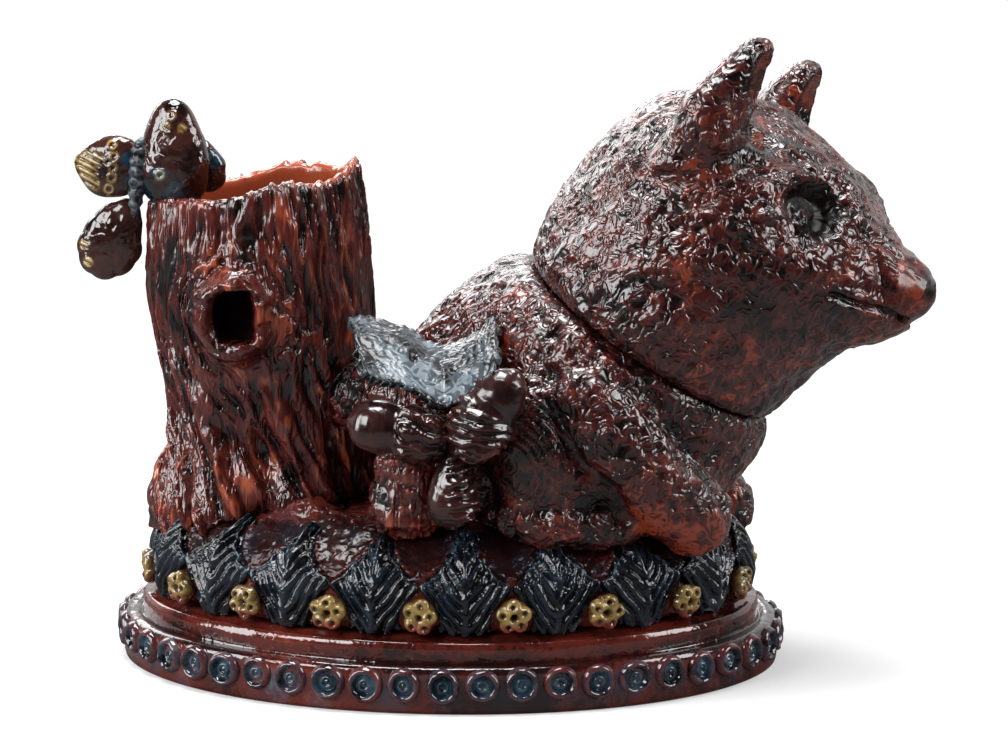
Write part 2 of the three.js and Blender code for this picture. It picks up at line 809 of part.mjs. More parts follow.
// Lobed leaf on the branch: three points, cupped, sloping down towards the shown side
function sprigLeafMass() {
  const half = sprigLeafLength / 2;
  const edge = new THREE.Shape();
  edge.moveTo(half * 0.25, -half * 1.05);
  edge.quadraticCurveTo(half * 0.5, -half * 0.6, half * 0.75, -half * 0.45);
  edge.quadraticCurveTo(half * 0.7, -half * 0.1, half, half * 0.75);
  edge.quadraticCurveTo(half * 0.3, half * 0.45, -half * 0.15, half * 0.4);
  edge.quadraticCurveTo(-half * 0.6, half * 0.7, -half, half * 0.7);
  edge.quadraticCurveTo(-half * 0.85, 0, -half * 0.7, -half * 0.45);
  edge.quadraticCurveTo(-half * 0.3, -half * 0.6, half * 0.25, -half * 1.05);
  const plate = new THREE.ExtrudeGeometry(edge, {
    depth: sprigLeafThickness,
    bevelEnabled: false,
    curveSegments: 4,
  });
  plate.rotateX(radians(sprigLeafSlope));
  const at = boughEnd.clone().add(vec(-sprigLeafThickness, sprigLeafThickness, branchRadius * 0.75));
  plate.translate(at.x, at.y, at.z);
  return solidOf(plate);
}

// Acorn from the middle of the spray: a cup and a pointed nut
function acornMass(toward, size, grow = 0) {
  const radius = acornRadius * size;
  const length = acornLength * size;
  const profile = [
    [0, -0.02],
    [0.55, 0],
    [0.92, 0.14],
    [1, 0.34],
    [0.94, 0.45],
    [0.86, 0.46],
    [0.85, 0.6],
    [0.66, 0.82],
    [0.28, 0.96],
    [0, 1],
  ].map(([r, y]) => flat(r && r * radius + grow, y * length + (y > 0.3 ? grow : -grow)));
  return turned(profile, 11, sprig.clone().addScaledVector(toward.from, acornRadius), toward.axis);
}

// Foot of each acorn, in acorn radii from the middle of the spray, and the way it points
const acornPlaces = {
  left: { from: vec(-0.1, -0.8, 0.2), axis: vec(-0.97, -0.1, 0.12).normalize(), size: 0.88 },
  right: { from: vec(0.7, -0.7, 0.3), axis: vec(0.72, 0.1, 0.64).normalize(), size: 1.05 },
  lower: { from: vec(0.4, -0.65, -0.6), axis: vec(-0.12, -0.1, -1).normalize(), size: 0.95 },
};

// Butterfly at rest on the stump's rim, its wings spread to the shown side
const perch = trunkPoint(radians(butterflyTurn), 1, 0).add(
  vec(-0.9 * butterflyGirth, -1.1 * butterflyGirth, 0.3 * butterflyLength),
);

function butterflyBody(grow = 0) {
  const station = (share, girth) => ({
    at: perch.clone().add(vec(share * 0.06, 0, share / 2).multiplyScalar(butterflyLength)),
    wide: butterflyGirth * girth + grow,
    tall: butterflyGirth * girth + grow,
  });
  return limb([station(-1, 0.6), station(-0.2, 1), station(0.4, 1.15), station(1, 0.8)], 10, 8);
}

// Wings of one side, fore and hind in one slab, from points in shares of the wing span
function butterflyWings(side) {
  const edges = {
    "-1": [
      [0, 0.3],
      [-0.42, 0.46],
      [-0.86, 0.2],
      [-0.74, -0.16],
      [-0.46, -0.36],
      [-0.82, -0.84],
      [-0.74, -1.22],
      [-0.44, -1.42],
      [-0.1, -1.2],
      [0, -0.5],
    ],
    1: [
      [0, -0.36],
      [0.06, 0.46],
      [0.34, 0.98],
      [0.58, 0.8],
      [0.74, 0.28],
      [1, 0.12],
      [1.14, -0.12],
      [1, -0.28],
      [0.7, -0.34],
    ],
  };
  const outline = edges[side].map(([x, y]) => flat(x * wingSpan, y * wingSpan));
  const edge = new THREE.Shape(new THREE.SplineCurve([...outline, outline[0]]).getPoints(outline.length * 2));
  const slab = new THREE.ExtrudeGeometry(edge, { depth: wingThickness, bevelEnabled: false });
  slab.translate(0, 0, -wingThickness / 2);
  slab.rotateX(Math.PI / 2);
  slab.rotateZ(side * radians(wingFold));
  slab.translate(perch.x, perch.y, perch.z);
  return trim(solidOf(slab), [butterflyBody(slip), trunkCut]);
}

// Assembly

const jar = new THREE.Group();

function place(name, solid, colour, roughness) {
  const { numProp, vertProperties, triVerts } = solid.getMesh();
  const geometry = new THREE.BufferGeometry();
  geometry.setAttribute("position", new THREE.BufferAttribute(vertProperties, numProp));
  geometry.setIndex(new THREE.BufferAttribute(triVerts, 1));
  geometry.computeVertexNormals();
  const glaze = new THREE.MeshStandardMaterial({ color: colour, roughness, metalness: 0 });
  const mesh = new THREE.Mesh(geometry, glaze);
  mesh.name = name;
  jar.add(mesh);
}

const oxblood = 0x5a1d16;
const redClay = 0x6e3028;
const barkBrown = 0x4a1a13;
const inkBlue = 0x1b2230;
const slateBlue = 0x35424c;
const gold = 0x8a6a2e;
const nutBrown = 0x3a1613;

place("plinth", plinth(), redClay, 0.2);
place("mound", mound(), redClay, 0.3);
place("stump", stump(), barkBrown, 0.2);
place("knot_ring", knot(), barkBrown, 0.2);
place("bear_body", body(), oxblood, 0.15);

for (const [word, side] of [["near", -1], ["far", 1]]) {
  place("hind_leg_" + word, trim(hindleg(side), [bodyCut, moundCut]), oxblood, 0.2);
  const cutters = [bodyCut, moundCut, headMass(2 * slip), hindleg(side, slip)];
  place("foreleg_" + word, trim(foreleg(side), cutters), oxblood, 0.2);
}

const feet = [trunkCut, bodyCut];
for (const side of [-1, 1]) feet.push(foreleg(side, slip), hindleg(side, slip));
for (let i = 0; i < leafCount; i++) {
  const number = String(i + 1).padStart(2, "0");
  place("mound_leaf_" + number, trim(moundLeaf(i), feet), inkBlue, 0.2);
  place("flower_boss_" + number, trim(moundBoss(i), feet), gold, 0.25);
}

const bough = branchMass(slip);
place("branch", trim(branchMass(), [moundCut, ...feet]), redClay, 0.25);
const nuts = Object.entries(acornPlaces);
const nutCuts = nuts.map(([, spot]) => acornMass(spot, spot.size, slip));
nuts.forEach(([word, spot], i) => {
  const cutters = [bough, bodyCut, moundCut, hindleg(-1, slip), ...nutCuts.slice(0, i)];
  place("acorn_" + word, trim(acornMass(spot, spot.size), cutters), nutBrown, 0.12);
});
place("branch_leaf", trim(sprigLeafMass(), [bough, bodyCut, trunkCut, ...nutCuts]), slateBlue, 0.2);

place("bear_head", head(), oxblood, 0.15);
place("lid_collar", collar(), redClay, 0.5);
place("nose", nose(), nutBrown, 0.15);
for (const [word, side] of [["near", -1], ["far", 1]]) {
  place("eye_" + word, eye(side), nutBrown, 0.1);
  place("ear_" + word, ear(side), oxblood, 0.2);
}

place("butterfly_body", trim(butterflyBody(), [trunkCut]), slateBlue, 0.2);
place("butterfly_wings_left", butterflyWings(-1), gold, 0.25);
place("butterfly_wings_right", butterflyWings(1), inkBlue, 0.2);

export default jar;
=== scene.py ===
# Bear cookie jar in glazed redware: the finished clay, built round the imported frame
import itertools
import json
import math
import bpy
import numpy as np
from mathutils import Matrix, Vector

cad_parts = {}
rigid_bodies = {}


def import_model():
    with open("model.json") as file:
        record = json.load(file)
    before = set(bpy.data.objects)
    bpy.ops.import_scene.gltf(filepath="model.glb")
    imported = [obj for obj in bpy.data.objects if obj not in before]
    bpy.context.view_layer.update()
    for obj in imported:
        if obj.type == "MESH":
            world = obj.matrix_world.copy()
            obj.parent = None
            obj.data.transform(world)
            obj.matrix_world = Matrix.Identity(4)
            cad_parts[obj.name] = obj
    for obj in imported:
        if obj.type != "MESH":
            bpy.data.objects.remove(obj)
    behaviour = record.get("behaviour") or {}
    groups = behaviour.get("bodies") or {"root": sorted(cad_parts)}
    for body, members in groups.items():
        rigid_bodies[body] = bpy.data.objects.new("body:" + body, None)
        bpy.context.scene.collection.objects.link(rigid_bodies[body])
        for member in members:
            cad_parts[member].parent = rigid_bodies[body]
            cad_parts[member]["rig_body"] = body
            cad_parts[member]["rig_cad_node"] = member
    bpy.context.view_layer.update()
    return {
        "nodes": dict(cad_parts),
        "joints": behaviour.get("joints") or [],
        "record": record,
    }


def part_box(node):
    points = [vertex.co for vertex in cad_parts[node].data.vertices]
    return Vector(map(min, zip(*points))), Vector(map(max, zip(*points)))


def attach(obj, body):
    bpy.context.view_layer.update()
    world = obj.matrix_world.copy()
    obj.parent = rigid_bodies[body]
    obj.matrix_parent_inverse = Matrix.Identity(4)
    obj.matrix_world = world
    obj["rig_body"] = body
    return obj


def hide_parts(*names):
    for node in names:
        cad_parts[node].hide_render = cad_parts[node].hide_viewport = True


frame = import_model()
mm = 0.001
fullTurn = 2 * math.pi
lift = np.array(frame["joints"][0]["axis"])  # the way the lid comes off
flat = np.array((1, 1, 0))
slipGap = 0.3  # half the slip between luted pieces, in mm
weldGap = 0.001
skinShare = 0.4  # more than this of a spot faces outwards: it is outer skin
shadeRange = (-1, 2)

# camera: where the picture was taken from, and its frame in pixels
view = {
    "place": (0.1485, -1.3921, 0.3763), "aim": (0.02116, 0.00226, 0.10867),
    "lens": 131.40, "sensor": 36.0, "picture": (1008, 756),
}
viewTurn = (Vector(view["aim"]) - Vector(view["place"])).to_track_quat("-Z", "Y")


def pickNothing():
    if bpy.context.object and bpy.context.object.mode != "OBJECT":
        bpy.ops.object.mode_set(mode="OBJECT")
    bpy.ops.object.select_all(action="DESELECT")


def pickOnly(obj):
    pickNothing()
    obj.select_set(True)
    bpy.context.view_layer.objects.active = obj


def editAll(obj):
    pickOnly(obj)
    bpy.ops.object.mode_set(mode="EDIT")
    bpy.ops.mesh.select_all(action="SELECT")


def faceOut(obj):
    editAll(obj)
    bpy.ops.mesh.normals_make_consistent(inside=False)
    bpy.ops.object.mode_set(mode="OBJECT")


def applyModifier(obj, kind, **settings):
    pickOnly(obj)
    modifier = obj.modifiers.new(kind.lower(), kind)
    for key, value in settings.items():
        setattr(modifier, key, value)
    bpy.ops.object.modifier_apply(modifier=modifier.name)


def remesh(obj, piece):
    applyModifier(obj, "REMESH", mode="VOXEL", voxel_size=piece["voxel"] * mm)
    applyModifier(obj, "SMOOTH", factor=0.5, iterations=piece["rounds"])


def joinAll(pieces, name):
    pickNothing()
    for piece in pieces:
        piece.select_set(True)
    bpy.context.view_layer.objects.active = pieces[0]
    if len(pieces) > 1:
        bpy.ops.object.join()
    pieces[0].name = name
    pieces[0].data.name = name
    return pieces[0]


# copy of CAD nodes as one skin of wet clay: welded, swollen over the slip gaps, remeshed and smoothed
def clayFrom(name, piece, nodes=None):
    parts = []
    for node in nodes or piece["nodes"]:
        part = frame["nodes"][node].copy()
        part.data = part.data.copy()
        part.parent = None
        part.hide_render = False
        part.hide_viewport = False
        del part["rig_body"]
        del part["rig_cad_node"]
        bpy.context.scene.collection.objects.link(part)
        editAll(part)
        bpy.ops.mesh.remove_doubles(threshold=weldGap * mm)
        swell = piece.get("plump", {}).get(node, piece.get("slip", slipGap))
        bpy.ops.transform.shrink_fatten(value=swell * mm)
        bpy.ops.object.mode_set(mode="OBJECT")
        parts.append(part)
    clay = joinAll(parts, name)
    clay.data.materials.clear()
    remesh(clay, piece)
    return clay


def newBall(segments, rings):
    pickNothing()
    bpy.ops.mesh.primitive_uv_sphere_add(segments=segments, ring_count=rings, radius=1)
    return bpy.context.object, readSkin(bpy.context.object)[0]


def newGrid(name, columns, rows):
    pickNothing()
    bpy.ops.mesh.primitive_grid_add(x_subdivisions=columns, y_subdivisions=rows, size=2)
    bpy.context.object.name = name
    return bpy.context.object, readSkin(bpy.context.object)[0]


# cut the chosen faces in four
def refine(obj, chosen):
    pickOnly(obj)
    mesh = obj.data
    bpy.context.tool_settings.mesh_select_mode = (False, False, True)
    mesh.vertices.foreach_set("select", np.zeros(len(mesh.vertices), bool))
    mesh.edges.foreach_set("select", np.zeros(len(mesh.edges), bool))
    mesh.polygons.foreach_set("select", chosen)
    bpy.ops.object.mode_set(mode="EDIT")
    bpy.ops.mesh.subdivide(number_cuts=1)
    bpy.ops.object.mode_set(mode="OBJECT")


# smooth the chosen corners
def settle(clay, chosen, rounds):
    pickOnly(clay)
    bpy.ops.object.mode_set(mode="EDIT")
    bpy.ops.mesh.select_mode(type="VERT")
    bpy.ops.mesh.select_all(action="DESELECT")
    bpy.ops.object.mode_set(mode="OBJECT")
    clay.data.vertices.foreach_set("select", np.asarray(chosen, dtype=bool))
    bpy.ops.object.mode_set(mode="EDIT")
    bpy.ops.mesh.vertices_smooth(factor=0.5, repeat=rounds)
    bpy.ops.object.mode_set(mode="OBJECT")


def readVectors(rows, key):
    values = np.empty(len(rows) * 3, np.float32)
    rows.foreach_get(key, values)
    return values.reshape(-1, 3).astype(float)


def readSkin(obj):
    return readVectors(obj.data.vertices, "co"), readVectors(obj.data.vertex_normals, "vector")


def readFaces(obj):
    return readVectors(obj.data.polygons, "center"), readVectors(obj.data.polygons, "normal")


def writeSkin(obj, spots):
    obj.data.vertices.foreach_set("co", spots.astype(np.float32).ravel())
    obj.data.update()


def raiseSkin(obj, spots, ways, rise):
    writeSkin(obj, spots + ways * (rise * mm)[:, None])


def writeShade(obj, **shades):
    for name, values in shades.items():
        layer = obj.data.attributes.new(name, "FLOAT", "POINT")
        layer.data.foreach_set("value", np.clip(values, *shadeRange).astype(np.float32))


# repeatable grain of the clay: smooth noise in 0..1 with lumps of a given size in mm
def hashed(cells, seed):
    mixed = cells[:, 0] * 374761393 + cells[:, 1] * 668265263 + cells[:, 2] * 1442695041 + seed * 97471
    mixed = mixed & 0xFFFFFFFF
    mixed = ((mixed ^ (mixed >> 13)) * 1274126177) & 0xFFFFFFFF
    return ((mixed ^ (mixed >> 16)) & 0xFFFF) / 65535


# a turned lattice keeps the grain from lining up with the axes
grainTurn = np.array(Vector((0.3, 0.8, 0.52)).to_track_quat("Z", "Y").to_matrix())
grainShift = 17.3  # sets the lattices of two seeds apart


def grain(spots, size, seed):
    turned = spots @ grainTurn / (size * mm) + seed * grainShift
    cells = np.floor(turned).astype(np.int64)
    part = turned - cells
    part = part * part * (3 - 2 * part)
    total = np.zeros(len(spots))
    for corner in itertools.product((0, 1), repeat=3):
        weight = np.prod(np.where(corner, part, 1 - part), axis=1)
        total += weight * hashed(cells + np.array(corner), seed)
    return total


def ripple(spots, size, seed):
    return grain(spots, size, seed) - 0.5


# values spread evenly over 0..1; with this slope a logistic curve follows a normal one
def evened(values):
    return 1 / (1 + np.exp(-1.7 * (values - values.mean()) / (values.std() + 1e-9)))


def specks(spots, size, seed):
    return evened(grain(spots, size, seed)) - 0.5


# broad patches with broken edges
def mottled(spots, sizes, seed, edge):
    return softStep(*edge, evened(grain(spots, sizes[0], seed) + 0.5 * grain(spots, sizes[1], seed + 1)))


# spots stirred about, so that a grain read there curls
def stirred(spots, size, reach, seed):
    stir = [ripple(spots, size, seed + step) for step in range(3)]
    return spots + np.stack(stir, axis=1) * (2 * reach * mm)


# grain drawn out along a flow over the skin, as a comb draws wet clay
def combed(spots, flow, length, width, seed):
    taps = np.linspace(-0.5, 0.5, 5) * length * mm
    return evened(sum(grain(spots + flow * tap, width, seed) for tap in taps))


def unit(vectors):
    return vectors / (np.linalg.norm(vectors, axis=-1, keepdims=True) + 1e-12)


def along(vectors, outward):
    return unit(vectors - outward * (vectors * outward).sum(1, keepdims=True))


# how far faces or spots look away from a middle: 1 outwards, -1 inwards
def facingFrom(middle, spots, outward, keep=1):
    return (unit((spots - middle) * keep) * outward).sum(1)


def softStep(low, high, values):
    share = np.clip((values - low) / (high - low), 0, 1)
    return share * share * (3 - 2 * share)


def bell(values, middle, width):
    return np.exp(-(((values - middle) / width) ** 2))


def waves(values, pitch):
    return np.sin(fullTurn * values / pitch)


def distance(spots, spot):
    return np.linalg.norm(spots - np.array(spot), axis=1) / mm


def near(spots, spot, radius):
    return bell(distance(spots, spot), 0, radius)


def nearLine(spots, path, radius):
    best = np.full(len(spots), np.inf)
    for start, end in zip(path, path[1:]):
        run = end - start
        share = np.clip((spots - start) @ run / (run @ run), 0, 1)
        best = np.minimum(best, distance(spots, start + share[:, None] * run))
    return bell(best, 0, radius)


# sum of layers, each by the weight that a piece gives it
def mixed(weights, **layers):
    return weights.get("even", 0) + sum(weights[name] * layer for name, layer in layers.items())


# what layers leave of a cover, each taking the share that a piece gives it
def thinned(shares, **layers):
    return np.prod([1 - shares[name] * layer for name, layer in layers.items()], axis=0)


# run along an oval's edge in mm, and the turns reached there
def ovalRun(length, width, count):
    turns = np.linspace(0, fullTurn, count)
    oval = np.column_stack((length * np.cos(turns), width * np.sin(turns)))
    return turns, np.concatenate(([0], np.cumsum(np.linalg.norm(np.diff(oval, axis=0), axis=1))))


# ways from the camera through pixels of the picture
def pixelWays(pixels):
    width, height = view["picture"]
    reach = view["sensor"] / view["lens"] / width
    x, y = np.array(pixels, float).T
    ways = np.column_stack(((x - width / 2) * reach, (height / 2 - y) * reach, -np.ones(len(x))))
    return ways @ np.array(viewTurn.to_matrix()).T


# spots behind pixels, at given depths along Y in mm
def atDepth(pixels, depth):
    ways = pixelWays(pixels)
    start = np.array(view["place"])
    return start + ways * ((depth * mm - start[1]) / ways[:, 1])[:, None]


# spot on a piece under a pixel
def underPixel(obj, pixel):
    bpy.context.view_layer.update()
    hit, spot, _, _ = obj.ray_cast(Vector(view["place"]), Vector(pixelWays([pixel])[0]).normalized())
    if not hit:
        print("no spot under pixel", pixel, "on", obj.name)
    return np.array(spot)


def pathUnder(obj, pixels):
    return [underPixel(obj, pixel) for pixel in pixels]


# for a piece with two like sides: spots of a pixel and its mirror image, patches there, lines on both
def finders(obj, mirrored):
    def both(pixel):
        spot = underPixel(obj, pixel)
        return (spot, mirrored(spot))

    def patch(spots, pixel, reach):
        return np.max([near(spots, spot, reach) for spot in both(pixel)], axis=0)

    def courses(pixels):
        return zip(*[both(pixel) for pixel in pixels])

    return both, patch, courses


def nodeMiddle(node):
    low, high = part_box(node)
    return np.array((low + high) / 2)


def openingMiddle(name):
    openings = frame["record"]["physics"]["openings"]
    box = next(opening["box_m"] for opening in openings if opening["name"] == name)
    return (np.array(box[0]) + np.array(box[1])) / 2


# hang a finished piece on its body in the place of its nodes
def dress(obj, material, nodes=(), body="jar"):
    pickOnly(obj)
    bpy.ops.object.shade_smooth()
    obj.data.materials.clear()
    obj.data.materials.append(material)
    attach(obj, body)
    if nodes:
        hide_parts(*nodes)
    print(obj.name, "has", len(obj.data.polygons), "faces")


# shader nodes: a number or a colour is set on its socket, anything else is linked to it
def feed(tree, source, socket):
    if isinstance(source, (int, float)):
        socket.default_value = source
    elif isinstance(source, tuple):
        socket.default_value = (*source, 1)
    else:
        tree.links.new(source, socket)


def mathNode(tree, operation, *sources):
    node = tree.nodes.new("ShaderNodeMath")
    node.operation = operation
    for source, socket in zip(sources, node.inputs):
        feed(tree, source, socket)
    return node.outputs[0]


def rangeNode(tree, source, low, high, first=0.0, last=1.0):
    node = tree.nodes.new("ShaderNodeMapRange")
    node.interpolation_type = "SMOOTHSTEP"
    sockets = ("Value", "From Min", "From Max", "To Min", "To Max")
    for socket, value in zip(sockets, (source, low, high, first, last)):
        feed(tree, value, node.inputs[socket])
    return node.outputs["Result"]


# the sixth and seventh sockets of a mix are its colours
def blendNode(tree, factor, first, second):
    node = tree.nodes.new("ShaderNodeMix")
    node.data_type = "RGBA"
    feed(tree, factor, node.inputs["Factor"])
    feed(tree, first, node.inputs[6])
    feed(tree, second, node.inputs[7])
    return node.outputs[2]


def noiseNode(tree, vector, scale, detail, rough=0.5, twist=0.0):
    node = tree.nodes.new("ShaderNodeTexNoise")
    sockets = ("Vector", "Scale", "Detail", "Roughness", "Distortion")
    for socket, value in zip(sockets, (vector, scale, detail, rough, twist)):
        feed(tree, value, node.inputs[socket])
    return node.outputs["Fac"]


def shadeNode(tree, name):
    node = tree.nodes.new("ShaderNodeAttribute")
    node.attribute_name = name
    return node.outputs["Fac"]


# lead glaze: runs dark into the hollows, breaks red and orange where it lies thin; its curls' hollows also
# take painted shade
glaze = {
    "inputs": (
        ("Vector", "Vector", None), ("Relief", "Float", 0.5), ("PoolAndShade", "Float", 0.1),
        ("Deep", "Color", (0.01, 0.004, 0.004, 1)), ("Middle", "Color", (0.06, 0.012, 0.01, 1)),
        ("Thin", "Color", (0.3, 0.05, 0.02, 1)),
    ),
    "outputs": (("Color", "Color"), ("Roughness", "Float"), ("Height", "Float")),
    "pools": (90, 4, 0.62), "specks": (420, 3, 0.65), "curls": (225, 0, 0.5, 1.0), "pinholes": (1300, 2),
    "curlWidth": 0.2, "poolShare": 0.8, "speckShare": 0.5, "pinholeHeight": 0.02,
    "middle": (0.05, 0.5), "thin": (0.55, 1.05), "rough": (0.3, 0.7, 0.07, 0.14),
    "mattRough": 0.12, "ior": 1.68,
}


def makeGlazeGroup(piece):
    group = bpy.data.node_groups.new("pooledGlaze", "ShaderNodeTree")
    for name, kind, value in piece["inputs"]:
        socket = group.interface.new_socket(name, in_out="INPUT", socket_type="NodeSocket" + kind)
        if value is not None:
            socket.default_value = value
    for name, kind in piece["outputs"]:
        group.interface.new_socket(name, in_out="OUTPUT", socket_type="NodeSocket" + kind)
    take = group.nodes.new("NodeGroupInput").outputs
    give = group.nodes.new("NodeGroupOutput").inputs
    kinds = ("pools", "specks", "curls", "pinholes")
    pools, fine, curls, pinholes = [noiseNode(group, take["Vector"], *piece[kind]) for kind in kinds]
    curls = mathNode(group, "ABSOLUTE", mathNode(group, "SUBTRACT", curls, 0.5))
    squiggles = rangeNode(group, curls, 0.0, piece["curlWidth"], 1.0, 0.0)
    shift = mathNode(group, "MULTIPLY_ADD", pools, piece["poolShare"], -piece["poolShare"] / 2)
    fleck = mathNode(group, "MULTIPLY_ADD", fine, piece["speckShare"], -piece["speckShare"] / 2)
    # darker in the curls' hollows: pooled glaze, and painted shade for the bump, which casts no shadow
    pooledAndShaded = mathNode(group, "MULTIPLY_ADD", squiggles, take["PoolAndShade"], take["Relief"])
    level = mathNode(group, "ADD", pooledAndShaded, mathNode(group, "ADD", shift, fleck))
    colour = blendNode(group, rangeNode(group, level, *piece["middle"]), take["Deep"], take["Middle"])
    colour = blendNode(group, rangeNode(group, level, *piece["thin"]), colour, take["Thin"])
    feed(group, colour, give["Color"])
    feed(group, rangeNode(group, pools, *piece["rough"]), give["Roughness"])
    height = mathNode(group, "MULTIPLY_ADD", pinholes, piece["pinholeHeight"], squiggles)
    feed(group, height, give["Height"])
    return group


glazeGroup = makeGlazeGroup(glaze)


# one glaze: colours from deep to thin, other glazes laid over it by the piece's own shades
def makeGlaze(name, colours, bump, specular=0.5, stretch=None, overlays=(), poolAndShade=0.1, satin=0.0):
    material = bpy.data.materials.new(name)
    material.use_nodes = True
    tree = material.node_tree
    shader = tree.nodes["Principled BSDF"].inputs
    place = tree.nodes.new("ShaderNodeTexCoord").outputs["Object"]
    if stretch:
        mapping = tree.nodes.new("ShaderNodeMapping")
        mapping.inputs["Scale"].default_value = stretch
        feed(tree, place, mapping.inputs["Vector"])
        place = mapping.outputs["Vector"]
    relief = shadeNode(tree, "relief")

    def pour(coat):
        pool = tree.nodes.new("ShaderNodeGroup")
        pool.node_tree = glazeGroup
        sources = (place, relief, poolAndShade, *coat)
        for (socket, _, _), source in zip(glaze["inputs"], sources):
            feed(tree, source, pool.inputs[socket])
        return pool.outputs

    base = pour(colours)
    colour = base["Color"]
    for shade, coat in overlays:
        colour = blendNode(tree, shadeNode(tree, shade), colour, pour(coat)["Color"])
    feed(tree, colour, shader["Base Color"])
    matt = shadeNode(tree, "matt")
    rough = mathNode(tree, "ADD", base["Roughness"], satin)
    feed(tree, mathNode(tree, "MULTIPLY_ADD", matt, glaze["mattRough"], rough), shader["Roughness"])
    feed(tree, mathNode(tree, "MULTIPLY_ADD", matt, -specular, specular), shader["Specular IOR Level"])
    feed(tree, glaze["ior"], shader["IOR"])
    dents = tree.nodes.new("ShaderNodeBump")
    feed(tree, mathNode(tree, "SUBTRACT", 1.0, shadeNode(tree, "calm")), dents.inputs["Strength"])
    feed(tree, bump * mm, dents.inputs["Distance"])
    feed(tree, base["Height"], dents.inputs["Height"])
    feed(tree, dents.outputs["Normal"], shader["Normal"])
    return material


# colours of the glazes, from where they lie deep to where they lie thin
tints = {
    "blue": ((0.004, 0.007, 0.012), (0.018, 0.046, 0.070), (0.10, 0.19, 0.24)),
    "gold": ((0.012, 0.006, 0.002), (0.15, 0.09, 0.026), (0.5, 0.37, 0.14)),
    "boss": ((0.008, 0.004, 0.002), (0.080, 0.044, 0.011), (0.27, 0.18, 0.055)),
    "clay": ((0.012, 0.003, 0.003), (0.082, 0.0118, 0.0075), (0.17, 0.033, 0.017)),
    "bear": ((0.003, 0.001, 0.001), (0.041, 0.0066, 0.0055), (0.165, 0.025, 0.0085)),
    "bark": ((0.003, 0.001, 0.001), (0.062, 0.0086, 0.0066), (0.29, 0.056, 0.022)),
    "leaf": ((0.0015, 0.002, 0.0035), (0.006, 0.010, 0.017), (0.035, 0.07, 0.10)),
    "slate": ((0.006, 0.006, 0.006), (0.043, 0.053, 0.063), (0.14, 0.17, 0.195)),
    "nut": ((0.006, 0.002, 0.002), (0.030, 0.008, 0.007), (0.11, 0.022, 0.011)),
    "wing": ((0.006, 0.003, 0.003), (0.040, 0.013, 0.010), (0.13, 0.036, 0.019)),
    "bare": ((0.2, 0.07, 0.04), (0.38, 0.15, 0.085), (0.5, 0.24, 0.15)),
}
blueRuns = ("blue", tints["blue"])
bearGlaze = makeGlaze("oxbloodFur", tints["bear"], 0.35, poolAndShade=0.4, satin=0.12)
barkGlaze = makeGlaze("oxbloodBark", tints["bark"], 0.32, stretch=(1.3, 1.3, 0.16), poolAndShade=0.3, satin=0.1)
clayGlaze = makeGlaze("redPlinth", tints["clay"], 0.04, overlays=(blueRuns,))
moundGlaze = makeGlaze("redMound", tints["clay"], 0.1, 0.2, overlays=(blueRuns,), poolAndShade=0.2, satin=0.1)
leafGlaze = makeGlaze("inkLeaf", tints["leaf"], 0.12, 0.36, satin=0.08)
slateGlaze = makeGlaze("slateLeaf", tints["slate"], 0.16, 0.22, poolAndShade=0.5, satin=0.12)
bossGlaze = makeGlaze("goldRosette", tints["boss"], 0.08, overlays=(("clay", tints["clay"]),))
nutGlaze = makeGlaze("nutBrown", tints["nut"], 0.04, satin=0.08)
wingGlaze = makeGlaze("wingBrown", tints["wing"], 0.08, overlays=(blueRuns, ("gold", tints["gold"])))
bareClay = makeGlaze("bareClay", tints["bare"], 0.1, 0.2)
print("glazes mixed")

# fur of head and body, sizes in mm
fur = {
    "curlSize": 5, "curl": 1.6, "length": 2.4, "width": 4.2, "round": 0.8, "level": 0.6,
    "clumpSize": 9, "clumpHeight": 1.6, "fineHeight": 0.15, "toneLevel": 0.4,
    "outer": -0.35, "outside": (-0.3, 0.1),
}


# curled tufts combed along a flow, and their rise on the clumps under them
def combFur(spots, flow, furry, piece):
    curlSeed, tuftSeed, clumpSeed = piece["furSeeds"]
    curled = stirred(spots, fur["curlSize"], fur["curl"], curlSeed)
    tufts = np.sin(math.pi * combed(curled, flow, fur["length"], fur["width"], tuftSeed)) ** fur["round"]
    clumps = ripple(spots, fur["clumpSize"], clumpSeed)
    return tufts, furry * (piece["tuftHeight"] * (tufts - fur["level"]) + fur["clumpHeight"] * clumps)


